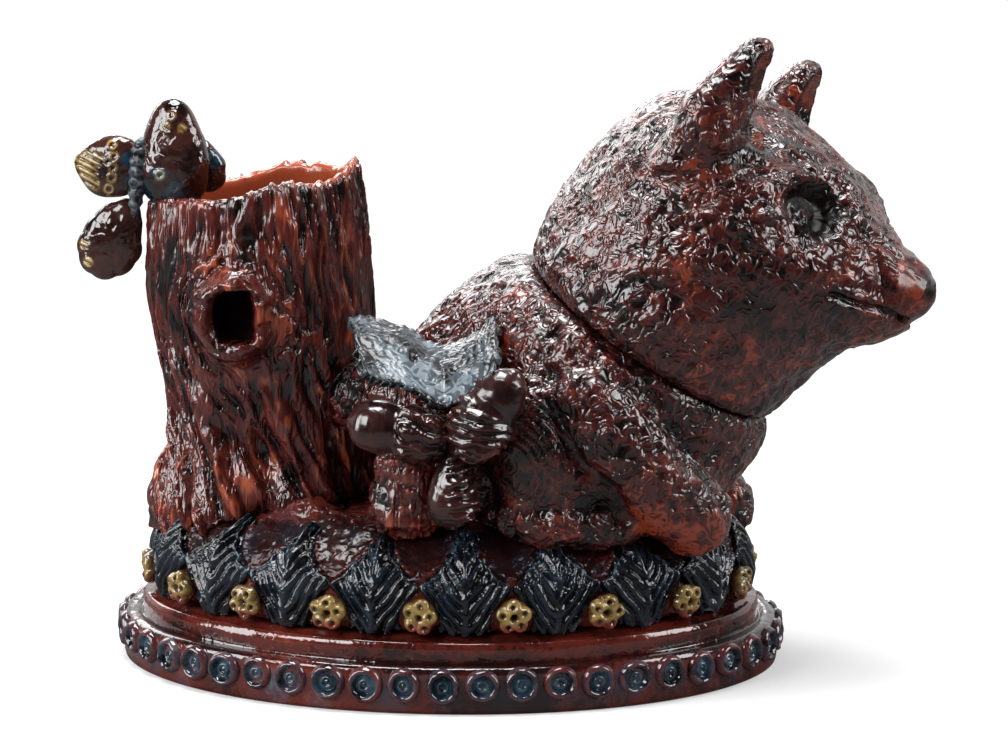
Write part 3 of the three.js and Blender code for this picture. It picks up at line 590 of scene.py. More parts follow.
# head: the lid, with ears, nose and eyes worked into its fur; lines have their reach and height in mm
headLid = {
    "nodes": ("bear_head", "ear_near", "ear_far", "nose", "eye_near", "eye_far"),
    "plump": {"ear_near": 1.4, "ear_far": 2.0},
    "voxel": 2.35, "rounds": 4,
    "tuftHeight": 1.3, "furSeeds": (14, 3, 9), "fineSize": 1.7, "hang": (-0.1925, 0, -0.55), "seam": (0.8, 4),
    "face": ((830, 235), 34), "faceOuter": -0.2,
    "earLift": 8, "earReach": (16, 24),
    "earWeb": (((699, 104), (706, 124), (720, 142)), 10, 4.2),
    "earCut": (((770, 108), (764, 140)), 6, 4.0),
    "socket": (816, 210), "socketReach": (5.5, 15.0), "socketDepth": 5.8,
    "smoothFirst": (12, 16), "smoothLast": (0.3, 2),
    "eye": (804, 211), "eyeReach": 3.8, "eyeHeight": 4.4, "eyeOval": 1.35, "pupil": 6,
    "swirl": 0.32, "swirlReach": 6.46, "swirlTurn": 2.2,
    "lashes": 20, "lashHeight": 0.18, "lashSway": 3, "lashReach": (5, 8), "lashSide": (-1.6, 4),
    "brow": (((764, 190), (786, 178), (812, 171), (838, 178), (853, 196), (856, 220)), 4.2, 2.4),
    "warts": (((766, 215), 2.7, 2.6), ((735, 229), 1.5, 1.4), ((745, 230), 1.5, 1.4), ((742, 205), 1.6, 1.2)),
    "cheek": ((775, 318), 30),
    "mouth": ((832, 295), (850, 301), (870, 307), (890, 313), (906, 321)),
    "mouthReach": 1.3, "mouthDepth": 1.8, "gape": ((904, 320), 5), "gapeDepth": 3.2,
    "lips": (2.6, -3.0), "lipReach": 1.8, "lipHeight": 0.9,
    "noseReach": 14, "muzzleReach": 36.4, "noseTipShade": ((931, 286), 5),
    "bulb": ((909, 290), 11), "bulbHeight": 0.3,
    "nape": ((578, 212), 20), "napeDepth": 2.4,
    "crease": (((880, 262), (882, 285), (884, 304)), 2.4, -2.0),
    "snout": ((872, 232), (912, 262)), "snoutReach": 7, "snoutPitch": 2.6, "snoutSway": 4, "snoutHeight": 0.7,
    "glow": (
        ((690, 175), 11), ((690, 260), 9), ((850, 262), 9), ((860, 338), 12), ((905, 275), 8),
        ((745, 380), 14), ((798, 362), 13),
    ),
    "patches": ((22, 8), 21, (0.55, 0.9)),
    "bald": {"cheek": 0.75, "nose": 1, "muzzle": 0.5, "socket": 1, "ears": 0.7},
    "smooth": {"nose": 0.7, "socket": 1},
    # the socket, slit, gape and tip tones are painted shade
    "tone": {
        "even": 0.06, "tufts": 0.28, "patches": 0.16, "glow": 0.3, "nose": 0.36, "tip": -0.8, "specks": 0.35,
        "socket": -0.9, "slit": -0.35, "gape": -0.7, "pupil": 0.8,
    },
    "calm": {"socket": 1, "nose": 1.1, "cheek": 0.5, "ears": 0.3}, "calmest": 0.97,
    "matt": {"socket": 0.85, "pupil": -0.45, "nose": 0.4, "slit": 0.24, "gape": 0.8},
    "insideTone": 0.75,
}


def makeHead(piece):
    head = clayFrom("bearHead", piece)
    hollow = openingMiddle("lid_hollow")
    refine(head, facingFrom(hollow, *readFaces(head)) > fur["outer"])
    eyes = [nodeMiddle("eye_near"), nodeMiddle("eye_far")]
    across = unit(eyes[1] - eyes[0])
    between = (eyes[0] + eyes[1]) / 2
    both, patch, courses = finders(head, lambda spot: spot - 2 * ((spot - between) @ across) * across)
    middles, facing = readFaces(head)
    pixel, reach = piece["face"]
    face = np.min([distance(middles, spot) for spot in both(pixel)], axis=0)
    refine(head, (face < reach) & (facingFrom(hollow, middles, facing) > piece["faceOuter"]))

    # the ground for the eyes is smoothed, then read again
    spots, _ = readSkin(head)
    reach, rounds = piece["smoothFirst"]
    settle(head, np.min([distance(spots, spot) for spot in both(piece["socket"])], axis=0) < reach, rounds)
    spots, outward = readSkin(head)
    outside = softStep(*fur["outside"], facingFrom(hollow, spots, outward))
    aboveSeam = (spots @ lift - (spots @ lift).min()) / mm
    loose = outside * softStep(*piece["seam"], aboveSeam)
    noseMiddle = nodeMiddle("nose")
    bulb = patch(spots, *piece["bulb"])
    nose = np.maximum(near(spots, noseMiddle, piece["noseReach"]), bulb)
    muzzle = near(spots, noseMiddle, piece["muzzleReach"])
    cheek = patch(spots, *piece["cheek"])
    bowls = [distance(spots, spot) for spot in both(piece["socket"])]
    sockets = [1 - softStep(*piece["socketReach"], bowl) for bowl in bowls]
    socket = np.max(sockets, axis=0)
    tips = [nodeMiddle(node) + np.array((0, 0, piece["earLift"] * mm)) for node in ("ear_near", "ear_far")]
    ears = np.max([1 - softStep(*piece["earReach"], distance(spots, spot)) for spot in tips], axis=0)

    # fur runs back from the nose and hangs on the cheeks
    furry = loose * thinned(piece["bald"], cheek=cheek, nose=nose, muzzle=muzzle, socket=socket, ears=ears)
    hang = np.array(piece["hang"]) * (1 - np.abs(outward[:, 2:]))
    tufts, rise = combFur(spots, along(unit(spots - noseMiddle) + hang, outward), furry, piece)
    fine = ripple(spots, piece["fineSize"], 5) * thinned(piece["smooth"], nose=nose, socket=socket)
    rise += fur["fineHeight"] * loose * fine
    for name in ("earWeb", "brow", "crease"):
        pixels, reach, height = piece[name]
        rise += sum(height * nearLine(spots, path, reach) for path in courses(pixels))
    pixels, reach, depth = piece["earCut"]
    rise -= depth * nearLine(spots, pathUnder(head, pixels), reach)

    # eyes in their sockets, with a swirl and lashes
    for eye, bowl, hollowed in zip(both(piece["eye"]), bowls, sockets):
        rise -= piece["socketDepth"] * hollowed
        out = unit(outward[np.argmin(bowl)])
        away = spots - eye
        level = unit(np.cross(out, lift))
        aside = away @ level
        upward = away @ lift
        reach = np.sqrt((aside / piece["eyeOval"]) ** 2 + upward**2 + (away @ out) ** 2) / mm
        turn = np.arctan2(upward, aside)
        rise += piece["eyeHeight"] * bell(reach, 0, piece["eyeReach"])
        swirl = bell(reach, 0, piece["swirlReach"]) * np.cos(piece["swirlTurn"] * reach + turn)
        rise += piece["swirl"] * swirl
        band = softStep(*piece["lashSide"], aside / mm * np.sign(level[0]))
        band *= softStep(*piece["lashReach"], reach)
        lashes = np.sin(turn * piece["lashes"] + piece["lashSway"] * grain(spots, 5, 12))
        rise += piece["lashHeight"] * hollowed * band * lashes * outside
    for pixel, width, height in piece["warts"]:
        rise += sum(height * near(spots, spot, width) for spot in both(pixel))

    # mouth and muzzle
    slit = np.zeros(len(spots))
    for path in courses(piece["mouth"]):
        slit = np.maximum(slit, nearLine(spots, path, piece["mouthReach"]))
        for raised in piece["lips"]:
            lip = [spot + raised * mm * lift for spot in path]
            rise += piece["lipHeight"] * nearLine(spots, lip, piece["lipReach"])
    gape = patch(spots, *piece["gape"])
    rise -= (piece["mouthDepth"] + piece["gapeDepth"] * gape) * slit * outside
    pixel, reach = piece["nape"]
    nape = near(spots, underPixel(head, pixel), reach) * outside
    rise += piece["bulbHeight"] * bulb - piece["napeDepth"] * nape
    wrinkles = fullTurn * (spots @ lift) / (piece["snoutPitch"] * mm)
    wrinkles = np.sin(wrinkles + piece["snoutSway"] * grain(spots, 6, 13))
    for path in courses(piece["snout"]):
        rise += piece["snoutHeight"] * nearLine(spots, path, piece["snoutReach"]) * wrinkles
    raiseSkin(head, spots, outward, rise)
    share, rounds = piece["smoothLast"]
    settle(head, socket > share, rounds)

    # glaze: painted shade in the sockets, in the mouth and at the nose's tip, thin and red over the glowing
    # patches
    glow = np.max([patch(spots, *place) for place in piece["glow"]], axis=0)
    # painted shade: the sockets are darkened as if in shadow, and the pupil lifts the eye back out of it
    pupil = socket * patch(spots, piece["eye"], piece["pupil"])
    # painted shade: the mouth's slit and its gape are darker, as shadow in the cut
    gaping = slit * gape
    # painted shade: the far end of the nose is darker, as its side in shadow
    relief = mixed(
        piece["tone"], tufts=(tufts - fur["toneLevel"]) * furry, patches=mottled(spots, *piece["patches"]),
        glow=glow, nose=nose, tip=patch(spots, *piece["noseTipShade"]), specks=specks(spots, 5, 23),
        socket=socket, slit=slit, gape=gaping, pupil=pupil,
    )
    calm = mixed(piece["calm"], socket=socket, nose=nose, cheek=cheek, ears=ears)
    calm = np.clip(calm, 0, piece["calmest"])
    matt = np.clip(mixed(piece["matt"], socket=socket, pupil=pupil, nose=nose, slit=slit, gape=gaping), 0, 1)
    writeShade(head, relief=np.where(outside > skinShare, relief, piece["insideTone"]), calm=calm, matt=matt)
    dress(head, bearGlaze, piece["nodes"], "lid")


makeHead(headLid)

# collar: bare clay ring under the head
collarRing = {
    "nodes": ("lid_collar",), "voxel": 1.2, "rounds": 3, "slip": 0, "tone": {"even": 0.25, "grain": 0.5},
}


def makeCollar(piece):
    collar = clayFrom("lidCollar", piece)
    spots, _ = readSkin(collar)
    writeShade(collar, relief=mixed(piece["tone"], grain=grain(spots, 6, 2)))
    dress(collar, bareClay, piece["nodes"], "lid")


makeCollar(collarRing)

# body: the jar itself with its four legs
bearBody = {
    "nodes": ("bear_body", "hind_leg_near", "hind_leg_far", "foreleg_near", "foreleg_far"),
    "voxel": 2.0, "rounds": 6,
    "tuftHeight": 1.4, "furSeeds": (24, 6, 4), "fineSize": 1.8, "fall": (0, 0, -0.02), "seam": (0.8, 4.5),
    "creases": (
        (((555, 415), (563, 437), (579, 464), (600, 482), (613, 492), (628, 521), (643, 550)), 3.2),
        (((597, 338), (622, 356), (645, 378), (664, 424), (690, 454), (716, 490), (729, 520)), 2.0),
    ),
    "creaseReach": 3.2, "shade": ((600, 505), 9),
    "paw": ((712, 545), 11),
    "bare": ((((648, 522), (690, 550)), 6.5), (((590, 478), (620, 500), (645, 528), (668, 552)), 4.5)),
    "combSpot": (505, 470), "combArea": ((528, 460), 19), "combEdge": (0.2, 0.6), "combGap": (7, 13),
    "combPitch": 2.6, "combSway": 1.6, "combHeight": 0.7,
    "ribs": ((539, 409), 7), "ribPitch": 2.6, "ribHeight": 0.8, "pit": ((553, 374), 3.2), "pitDepth": 3.0,
    "glow": (((520, 300), 9), ((590, 470), 7), ((640, 520), 12), ((700, 545), 14), ((505, 345), 7)),
    "patches": ((24, 8), 31, (0.5, 0.88)),
    "bald": {"bare": 0.8, "comb": 1},
    "tone": {
        "even": 0.06, "tufts": 0.28, "patches": 0.16, "bare": 0.36, "glow": 0.26, "teeth": 0.1,
        "specks": 0.35, "pit": -0.6, "creased": -0.07, "shade": -0.5,
    },
    "calm": {"bare": 0.8, "comb": 0.6}, "calmest": 0.9,
    "matt": {"creased": 0.08, "shade": 0.4},
    "insideTone": 0.85,
}


def makeBody(piece):
    body = clayFrom("bearBody", piece)
    hollow = openingMiddle("jar_cavity")
    refine(body, facingFrom(hollow, *readFaces(body)) > fur["outer"])
    spots, outward = readSkin(body)
    outside = softStep(*fur["outside"], facingFrom(hollow, spots, outward))
    belowSeam = ((spots @ lift).max() - spots @ lift) / mm
    loose = outside * softStep(*piece["seam"], belowSeam)
    _, patch, courses = finders(body, lambda spot: spot * np.array((1, -1, 1)))
    bare = patch(spots, *piece["paw"])
    for pixels, reach in piece["bare"]:
        bare = np.max([bare, *[nearLine(spots, path, reach) for path in courses(pixels)]], axis=0)
    comb = softStep(*piece["combEdge"], patch(spots, *piece["combArea"]))
    furry = loose * thinned(piece["bald"], bare=bare, comb=comb)
    flow = along(spots - openingMiddle("jar_mouth") + np.array(piece["fall"]), outward)
    tufts, rise = combFur(spots, flow, furry, piece)
    rise += fur["fineHeight"] * loose * ripple(spots, piece["fineSize"], 7)

    # haunch combed in arcs, short ribs above it and a pit
    combSpot = underPixel(body, piece["combSpot"])
    fromComb = np.linalg.norm((spots - combSpot)[:, (0, 2)], axis=1) / mm
    teeth = waves(fromComb + piece["combSway"] * grain(spots, 9, 8), piece["combPitch"])
    teeth *= softStep(*piece["combGap"], fromComb)
    rise += piece["combHeight"] * comb * loose * teeth
    rise += piece["ribHeight"] * patch(spots, *piece["ribs"]) * waves(spots @ lift, piece["ribPitch"] * mm)
    pit = patch(spots, *piece["pit"])
    rise -= piece["pitDepth"] * pit
    creased = np.zeros(len(spots))
    for pixels, depth in piece["creases"]:
        for path in courses(pixels):
            creased = np.maximum(creased, depth * nearLine(spots, path, piece["creaseReach"]))
    rise -= creased * outside
    raiseSkin(body, spots, outward, rise)

    # painted shade: a dark, duller patch where the recess between foreleg and haunch lies in shadow, and
    # darker creases
    glow = np.max([patch(spots, *place) for place in piece["glow"]], axis=0)
    shade = patch(spots, *piece["shade"])
    relief = mixed(
        piece["tone"], tufts=(tufts - fur["toneLevel"]) * furry, patches=mottled(spots, *piece["patches"]),
        bare=bare, glow=glow, teeth=comb * teeth, specks=specks(spots, 5, 33), pit=pit, creased=creased,
        shade=shade,
    )
    calm = np.clip(mixed(piece["calm"], bare=bare, comb=comb), 0, piece["calmest"])
    matt = np.clip(mixed(piece["matt"], creased=creased, shade=shade), 0, 1)
    writeShade(body, relief=np.where(outside > skinShare, relief, piece["insideTone"]), calm=calm, matt=matt)
    dress(body, bearGlaze, piece["nodes"])


makeBody(bearBody)

# stump: hollow trunk with combed bark that parts round the knot
barkStump = {
    "nodes": ("stump", "knot_ring"),
    "voxel": 1.8, "rounds": 6, "outer": -0.4, "outside": (-0.35, 0.15),
    "girth": 41, "knot": (232, 317), "knotRing": 13, "knotArea": 24, "knotFacing": 0.2,
    "sway": ((5, 22, 40), (2.5, 9, 39)), "lean": 0.42, "leanFade": (40, 90),
    "ridge": (8, 2.3, 41), "ridgeRound": 0.9, "ridgeHeight": 2.3, "ridgeLevel": 0.6,
    "cord": (6, 5.0, 43), "cordHeight": 0.96, "footHeight": 6.04, "foot": (0.15, 0.5),
    "fineSize": 1.5, "fineHeight": 0.35,
    "rim": (0.9, 1.0), "rimWave": 4.0, "rimTeeth": 3.2, "rimLevel": 1.15,
    "lumpy": 2.2, "lipShape": 0.8, "lipReach": 9.6, "lipWidth": 4.2, "lipHeight": 7.2, "lipLumps": 1.4,
    "hole": (5.4, 7.4), "holeDepth": 5.0, "holeShift": (1.2, 1.4), "holeShape": 0.7, "holePower": 2.5,
    "holeLumps": 0.8, "around": (13, 18),
    "brow": ((204, 296), (217, 286), (235, 281), (252, 285), (261, 297)), "browReach": 2.6, "browHeight": 1.6,
    "nubs": (((222, 268), 11), ((190, 268), 7), ((276, 312), 13), ((290, 345), 10)),
    "nubSize": 3.4, "nubHeight": 1.9, "nubLevel": 0.35, "nubEdge": (0.3, 0.75),
    "waist": 3.2, "waistSide": (0.3, 0.9), "waistBand": (0.45, 0.28),
    "slim": 2.4, "slimSide": (0.4, 0.95), "slimBand": (0.45, 0.7),
    "pit": ((184, 281), 2.6), "pitDepth": 2.2, "bare": ((252, 371), 9),
    "ribs": (
        ((245, 395), (262, 430), (287, 487)), ((262, 390), (285, 430), (300, 470)),
        ((225, 400), (236, 450), (262, 498)),
    ),
    "ribReach": 1.7, "ribHeight": 1.5,
    "root": ((200, 405), (213, 440), (234, 474), (262, 494), (292, 502)), "rootReach": 6, "rootHeight": 4.2,
    "glow": (((255, 372), 9), ((278, 318), 13), ((215, 270), 6), ((330, 400), 8)),
    "patches": ((20, 7), 47, (0.4, 0.85)), "right": (-28, 25), "toneLevel": 0.55, "rimTone": (0.96, 1),
    "plain": {"around": 0.9, "bare": 0.8, "nubs": 0.6},
    "tone": {
        "even": 0.04, "ridges": 0.6, "patches": 0.06, "redder": 0.14, "glow": 0.36, "lip": 0.12, "cords": 0.3,
        "foot": 0.14, "nubs": 0.2, "rim": 0.35, "root": 0.15, "hole": -1.3, "specks": 0.3,
    },
    "insideTone": (1.2, 0.4), "insideLevel": 0.3,
    "calm": {"around": 0.8, "bare": 0.8, "inside": 1}, "calmest": 0.9,
}


def makeStump(piece):
    stump = clayFrom("barkStump", piece, ("stump",))
    low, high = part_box("stump")
    axis = nodeMiddle("stump")
    axis[0] = openingMiddle("stump_well")[0]
    refine(stump, facingFrom(axis, *readFaces(stump), flat) > piece["outer"])
    knot = underPixel(stump, piece["knot"])
    middles, facing = readFaces(stump)
    refine(stump, (distance(middles, knot) < piece["knotArea"]) & (facing[:, 1] < piece["knotFacing"]))
    spots, outward = readSkin(stump)
    outside = softStep(*piece["outside"], facingFrom(axis, spots, outward, flat))
    height = (spots[:, 2] - low.z) / (high.z - low.z)
    turn = np.arctan2(spots[:, 1] - axis[1], spots[:, 0] - axis[0])
    knotTurn = math.atan2(knot[1] - axis[1], knot[0] - axis[0])
    side = ((turn - knotTurn + math.pi) % fullTurn - math.pi) * piece["girth"]
    over = (spots[:, 2] - knot[2]) / mm

    # bark: the grain is drawn out upwards, and its lines part round the knot
    ring = piece["knotRing"]
    apart = np.maximum(side**2 + over**2, ring**2)
    sway = sum(reach * ripple(spots, size, seed) for reach, size, seed in piece["sway"])
    lean = piece["lean"] * np.maximum(-over - ring, 0) * (1 - softStep(*piece["leanFade"], np.abs(side)))
    course = knotTurn + (side * (1 - ring**2 / apart) + sway - lean) / piece["girth"]
    hoop = np.column_stack((np.cos(course), np.sin(course))) * piece["girth"]

    def bark(length, width, seed):
        return evened(grain(np.column_stack((hoop, over / length)) * mm, width, seed))

    ridges = np.sin(math.pi * bark(*piece["ridge"])) ** piece["ridgeRound"]
    cords = bark(*piece["cord"]) - 0.5
    foot = 1 - softStep(*piece["foot"], height)

    # knot: a thick lumpy lip round a squarish hole
    lumpy = piece["lumpy"] * ripple(spots, 6, 49)
    reach = np.sqrt(side**2 + (over * piece["lipShape"]) ** 2) + lumpy
    lip = bell(reach, piece["lipReach"], piece["lipWidth"])
    aside = np.abs(side - piece["holeShift"][0])
    above = np.abs(over - piece["holeShift"][1]) * piece["holeShape"]
    power = piece["holePower"]
    square = (aside**power + above**power) ** (1 / power)
    hole = 1 - softStep(*piece["hole"], square + piece["holeLumps"] * lumpy)
    around = 1 - softStep(*piece["around"], reach)

    def patch(pixel, reach):
        return near(spots, underPixel(stump, pixel), reach)

    nubs = np.max([patch(*nub) for nub in piece["nubs"]], axis=0)
    lumps = softStep(*piece["nubEdge"], evened(grain(stirred(spots, 5, 1.5, 50), piece["nubSize"], 44)))
    bare = patch(*piece["bare"])
    plain = thinned(piece["plain"], around=around, bare=bare, nubs=nubs)
    rise = piece["ridgeHeight"] * (ridges - piece["ridgeLevel"])
    rise = plain * (rise + (piece["cordHeight"] + piece["footHeight"] * foot) * cords)
    rise += piece["nubHeight"] * nubs * (lumps - piece["nubLevel"]) * (1 - around)
    rise += piece["fineHeight"] * ripple(spots, piece["fineSize"], 45)
    brow = nearLine(spots, pathUnder(stump, piece["brow"]), piece["browReach"])
    knotted = piece["lipHeight"] * lip + piece["browHeight"] * brow
    knotted += piece["lipLumps"] * around * (lumps - 0.5)
    rise += knotted * (1 - hole) - piece["holeDepth"] * hole - piece["pitDepth"] * patch(*piece["pit"])
    for pixels in piece["ribs"]:
        rise += piece["ribHeight"] * nearLine(spots, pathUnder(stump, pixels), piece["ribReach"])
    root = nearLine(spots, pathUnder(stump, piece["root"]), piece["rootReach"])
    rise += piece["rootHeight"] * root
    rise -= piece["waist"] * softStep(*piece["waistSide"], -np.cos(turn)) * bell(height, *piece["waistBand"])
    rise -= piece["slim"] * softStep(*piece["slimSide"], np.cos(turn)) * softStep(*piece["slimBand"], height)
    spots = spots + outward * (rise * outside * mm)[:, None]
    edge = np.column_stack((np.cos(turn), np.sin(turn), 0 * turn)) * piece["girth"] * mm
    ragged = grain(edge, piece["rimTeeth"], 46) + grain(edge, 3 * piece["rimTeeth"], 47) - piece["rimLevel"]
    spots[:, 2] += softStep(*piece["rim"], height) * ragged * piece["rimWave"] * mm
    writeSkin(stump, spots)

    # the glaze lies thinner to the right of the knot and in the well; the well's upper inside is lighter
    # still as painted light from above, its lower inside darker
    patches = mottled(spots, *piece["patches"])
    # lighter along the rim's top edge: the glaze is thin there, and the band is also a painted highlight
    relief = mixed(
        piece["tone"], ridges=(ridges - piece["toneLevel"]) * plain, patches=patches,
        redder=patches * softStep(*piece["right"], side), lip=lip, cords=cords * foot, foot=foot,
        glow=np.max([patch(*place) for place in piece["glow"]], axis=0), nubs=nubs * lumps,
        rim=softStep(*piece["rimTone"], height), root=root, hole=hole, specks=specks(spots, 5, 38),
    )
    # painted light: the well's upper inside is lighter, as if lit from above, and darker towards the bottom
    inside = np.where(height > piece["insideLevel"], *piece["insideTone"])
    calm = mixed(piece["calm"], around=around, bare=bare, inside=outside < skinShare)
    calm = np.clip(calm, 0, piece["calmest"])
    # painted shade: the knot's hole is made near black and loses its gloss, as a hole in shadow
    writeShade(stump, relief=np.where(outside > skinShare, relief, inside), calm=calm, matt=hole * outside)
    dress(stump, barkGlaze, piece["nodes"])


makeStump(barkStump)

# plinth: two oval tiers turned by hand, a groove between them
ovalPlinth = {
    "halfLength": 128, "halfWidth": 93, "facets": 480,
    "step": 9, "tier": 18, "edge": 3, "groove": 1.4, "arcSteps": 8,
    "wobble": 0.6, "turningLine": 0.08, "linePace": 5, "lineSway": 4, "standing": (0.5, 2.0),
    "grooveShade": (17.4, 1.5), "runEdge": (0.45, 0.8), "runBand": (8, 6), "runShare": 0.8,
    "tone": {"even": 0.4, "broad": 0.6, "wobble": 0.3, "groove": -0.4, "lines": 0.06},
}


# insets and levels of the plinth's outline in mm, from its underside up
def plinthProfile(piece, top):
    edge = piece["edge"]
    step = piece["step"]
    tier = piece["tier"]
    floor = tier - piece["groove"]
    turns = np.linspace(0, math.pi / 2, piece["arcSteps"])
    arc = [(1 - math.cos(turn), 1 - math.sin(turn)) for turn in turns]
    foot = [(edge * 0.5, 0), (edge * 0.1, edge * 0.2), (0, edge * 0.6), (0.1, tier * 0.5)]
    shoulder = [(edge * x, tier - edge * z) for x, z in arc]
    groove = [(step - 3.2, tier + 0.1), (step - 2.4, floor), (step - 1.6, floor), (step - 1.2, tier + 0.4)]
    upper = [(step - 1.5 + 2 * x, top - 1.6 - 3.5 * z) for x, z in arc]
    crown = [(step + 2.2, top - 1.4), (step + 3.0, top - 0.4), (step + 5, top), (step + 9, top)]
    return foot + shoulder + groove + upper + crown


def makePlinth(piece):
    profile = plinthProfile(piece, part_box("plinth")[1].z / mm)
    halves = np.array((piece["halfLength"], piece["halfWidth"]))
    pickNothing()
    bpy.ops.mesh.primitive_circle_add(vertices=piece["facets"], radius=1, fill_type="NGON")
    base = bpy.context.object
    base.name = "ovalPlinth"
    editAll(base)
    bpy.ops.mesh.flip_normals()
    start = (halves - profile[0][0]) * mm
    bpy.ops.transform.resize(value=(*start, 1), center_override=(0, 0, 0))
    for (lastInset, lastLevel), (inset, level) in zip(profile, profile[1:]):
        bpy.ops.mesh.extrude_region_move(TRANSFORM_OT_translate={"value": (0, 0, (level - lastLevel) * mm)})
        grow = (halves - inset) / (halves - lastInset)
        bpy.ops.transform.resize(value=(*grow, 1), center_override=(0, 0, 0))
    faceOut(base)
    spots, outward = readSkin(base)
    level = spots[:, 2] / mm
    wobble = ripple(spots, 16, 51) + 0.5 * ripple(spots, 5, 52)
    lines = np.sin(level * piece["linePace"] + piece["lineSway"] * grain(spots, 40, 53))
    rise = softStep(*piece["standing"], level) * (piece["wobble"] * wobble + piece["turningLine"] * lines)
    raiseSkin(base, spots, outward, rise)
    # painted shade: the groove between the tiers is darker, as shadow in it
    groove = bell(level, *piece["grooveShade"])
    relief = mixed(piece["tone"], broad=ripple(spots, 26, 54), wobble=wobble, groove=groove, lines=lines)
    runs = softStep(*piece["runEdge"], evened(grain(spots, 9, 55))) * bell(level, *piece["runBand"])
    writeShade(base, relief=relief, blue=piece["runShare"] * runs)
    dress(base, clayGlaze, ("plinth",))


makePlinth(ovalPlinth)

# roundels: rings with a blue dish and a dot, stamped round the lower tier
edgeRoundel = {
    "count": 48, "sides": 24, "height": 11.2, "radius": 6.9, "seat": 1.4, "marks": 2881, "seed": 7,
    "rings": (
        (0.5, 1.5), (0.8, 0.9), (0.8, 0.0), (0.8, -1.1), (0.6, -1.4), (0.5, 0.0),
        (0.5, 0.9), (0.5, 0.5), (0.5, -0.4), (0.4, -0.6), (0.3, 0.5),
    ),
    "sizes": (0.92, 1.06), "shift": (-0.5, 0.5), "lump": 0.8,
    "dish": (0.6, 0.8), "dishBlue": (0.8, 1), "rimBlue": (0.2, 0.85), "rimBare": 0.5, "rim": (0.85, 0.12),
    "rimTone": (0.6, 0.85), "dot": (0.34, 0.1), "tone": {"even": 0.2, "rim": 0.2, "dot": 0.45, "grain": 0.6},
}


def makeRoundels(piece):
    halves = (ovalPlinth["halfLength"], ovalPlinth["halfWidth"])
    radius = piece["radius"] * mm
    turns, run = ovalRun(*halves, piece["marks"])
    places = np.interp((np.arange(piece["count"]) + 0.5) / piece["count"] * run[-1], run, turns)
    rng = np.random.default_rng(piece["seed"])
    made = []
    for place in places:
        pickNothing()
        bpy.ops.mesh.primitive_circle_add(vertices=piece["sides"], radius=radius, fill_type="NGON")
        disc = bpy.context.object
        editAll(disc)
        bpy.ops.mesh.extrude_region_move(TRANSFORM_OT_translate={"value": (0, 0, piece["seat"] * mm)})
        for thickness, depth in piece["rings"]:
            bpy.ops.mesh.inset(thickness=thickness * mm, depth=depth * mm)
        faceOut(disc)
        applyModifier(disc, "SUBSURF", levels=1, render_levels=1)
        spots, _ = readSkin(disc)
        reach = np.linalg.norm(spots[:, :2], axis=1) / radius
        blue = (1 - softStep(*piece["dish"], reach)) * rng.uniform(*piece["dishBlue"])
        rimBlue = rng.uniform(*piece["rimBlue"]) * (1 - piece["rimBare"] * bell(reach, *piece["rim"]))
        spots = spots * rng.uniform(*piece["sizes"], 3)
        edge = np.array((math.cos(place), math.sin(place)))
        out = unit(np.array((*(edge / halves), 0)))
        aside = (-out[1], out[0], 0)
        spot = np.array((*(edge * halves), piece["height"] + rng.uniform(*piece["shift"]))) * mm
        spots = spots @ np.array((aside, (0, 0, 1), out)) + spot - out * piece["seat"] * mm
        spots += ripple(spots, 3, 61)[:, None] * piece["lump"] * mm * out
        rim = softStep(*piece["rimTone"], reach)
        relief = mixed(piece["tone"], rim=rim, dot=bell(reach, *piece["dot"]), grain=ripple(spots, 4, 62))
        writeSkin(disc, spots)
        writeShade(disc, relief=relief, blue=np.maximum(blue, rimBlue))
        made.append(disc)
    dress(joinAll(made, "edgeRoundels"), clayGlaze)


makeRoundels(edgeRoundel)

# mound: dimpled ground under the bear and the stump, with the leaves' layout round its side
leafMound = {
    "nodes": ("mound",), "voxel": 1.6, "rounds": 4, "slip": 0,
    "halfLength": 112, "halfWidth": 78, "base": 27.3, "height": 35.7, "marks": 1441,
    "shoulder": 30, "shoulderPower": 4, "bulge": 3, "bulgePower": 0.65,
    "dimple": 1.3, "dimpleSize": 3.0, "dimpleEdge": (0.25, 0.7), "dimpleLevel": 0.6, "swell": 1.4,
    "beadPitch": 2.3, "beadHeight": 1.0, "beadOff": 2.6, "beadWidth": 1.0,
    "stripFoot": (0.5, 0.62), "stripTip": (0.97, 1.1), "outside": (-0.3, 0),
    "fineFrom": 0.45, "fineFacing": (-0.2, 0.3),
    "toe": ((250, 498), (275, 508), (300, 513), (318, 510)), "toeReach": 5.5, "toeHeight": 5.5,
    "bud": ((478, 522), (492, 516)), "budReach": 4.5, "budHeight": 3.6,
    "dimpled": {"lobes": 1, "strip": 0.7},
    "tone": {"even": 0.2, "dimples": 0.3, "broad": 0.7, "toe": 0.35, "bud": 0.5, "strip": -0.45},
    "runEdge": (0.5, 0.9), "runShare": 0.5,
}
moundTurns, moundRun = ovalRun(leafMound["halfLength"], leafMound["halfWidth"], leafMound["marks"])
moundShares = moundRun / moundRun[-1]

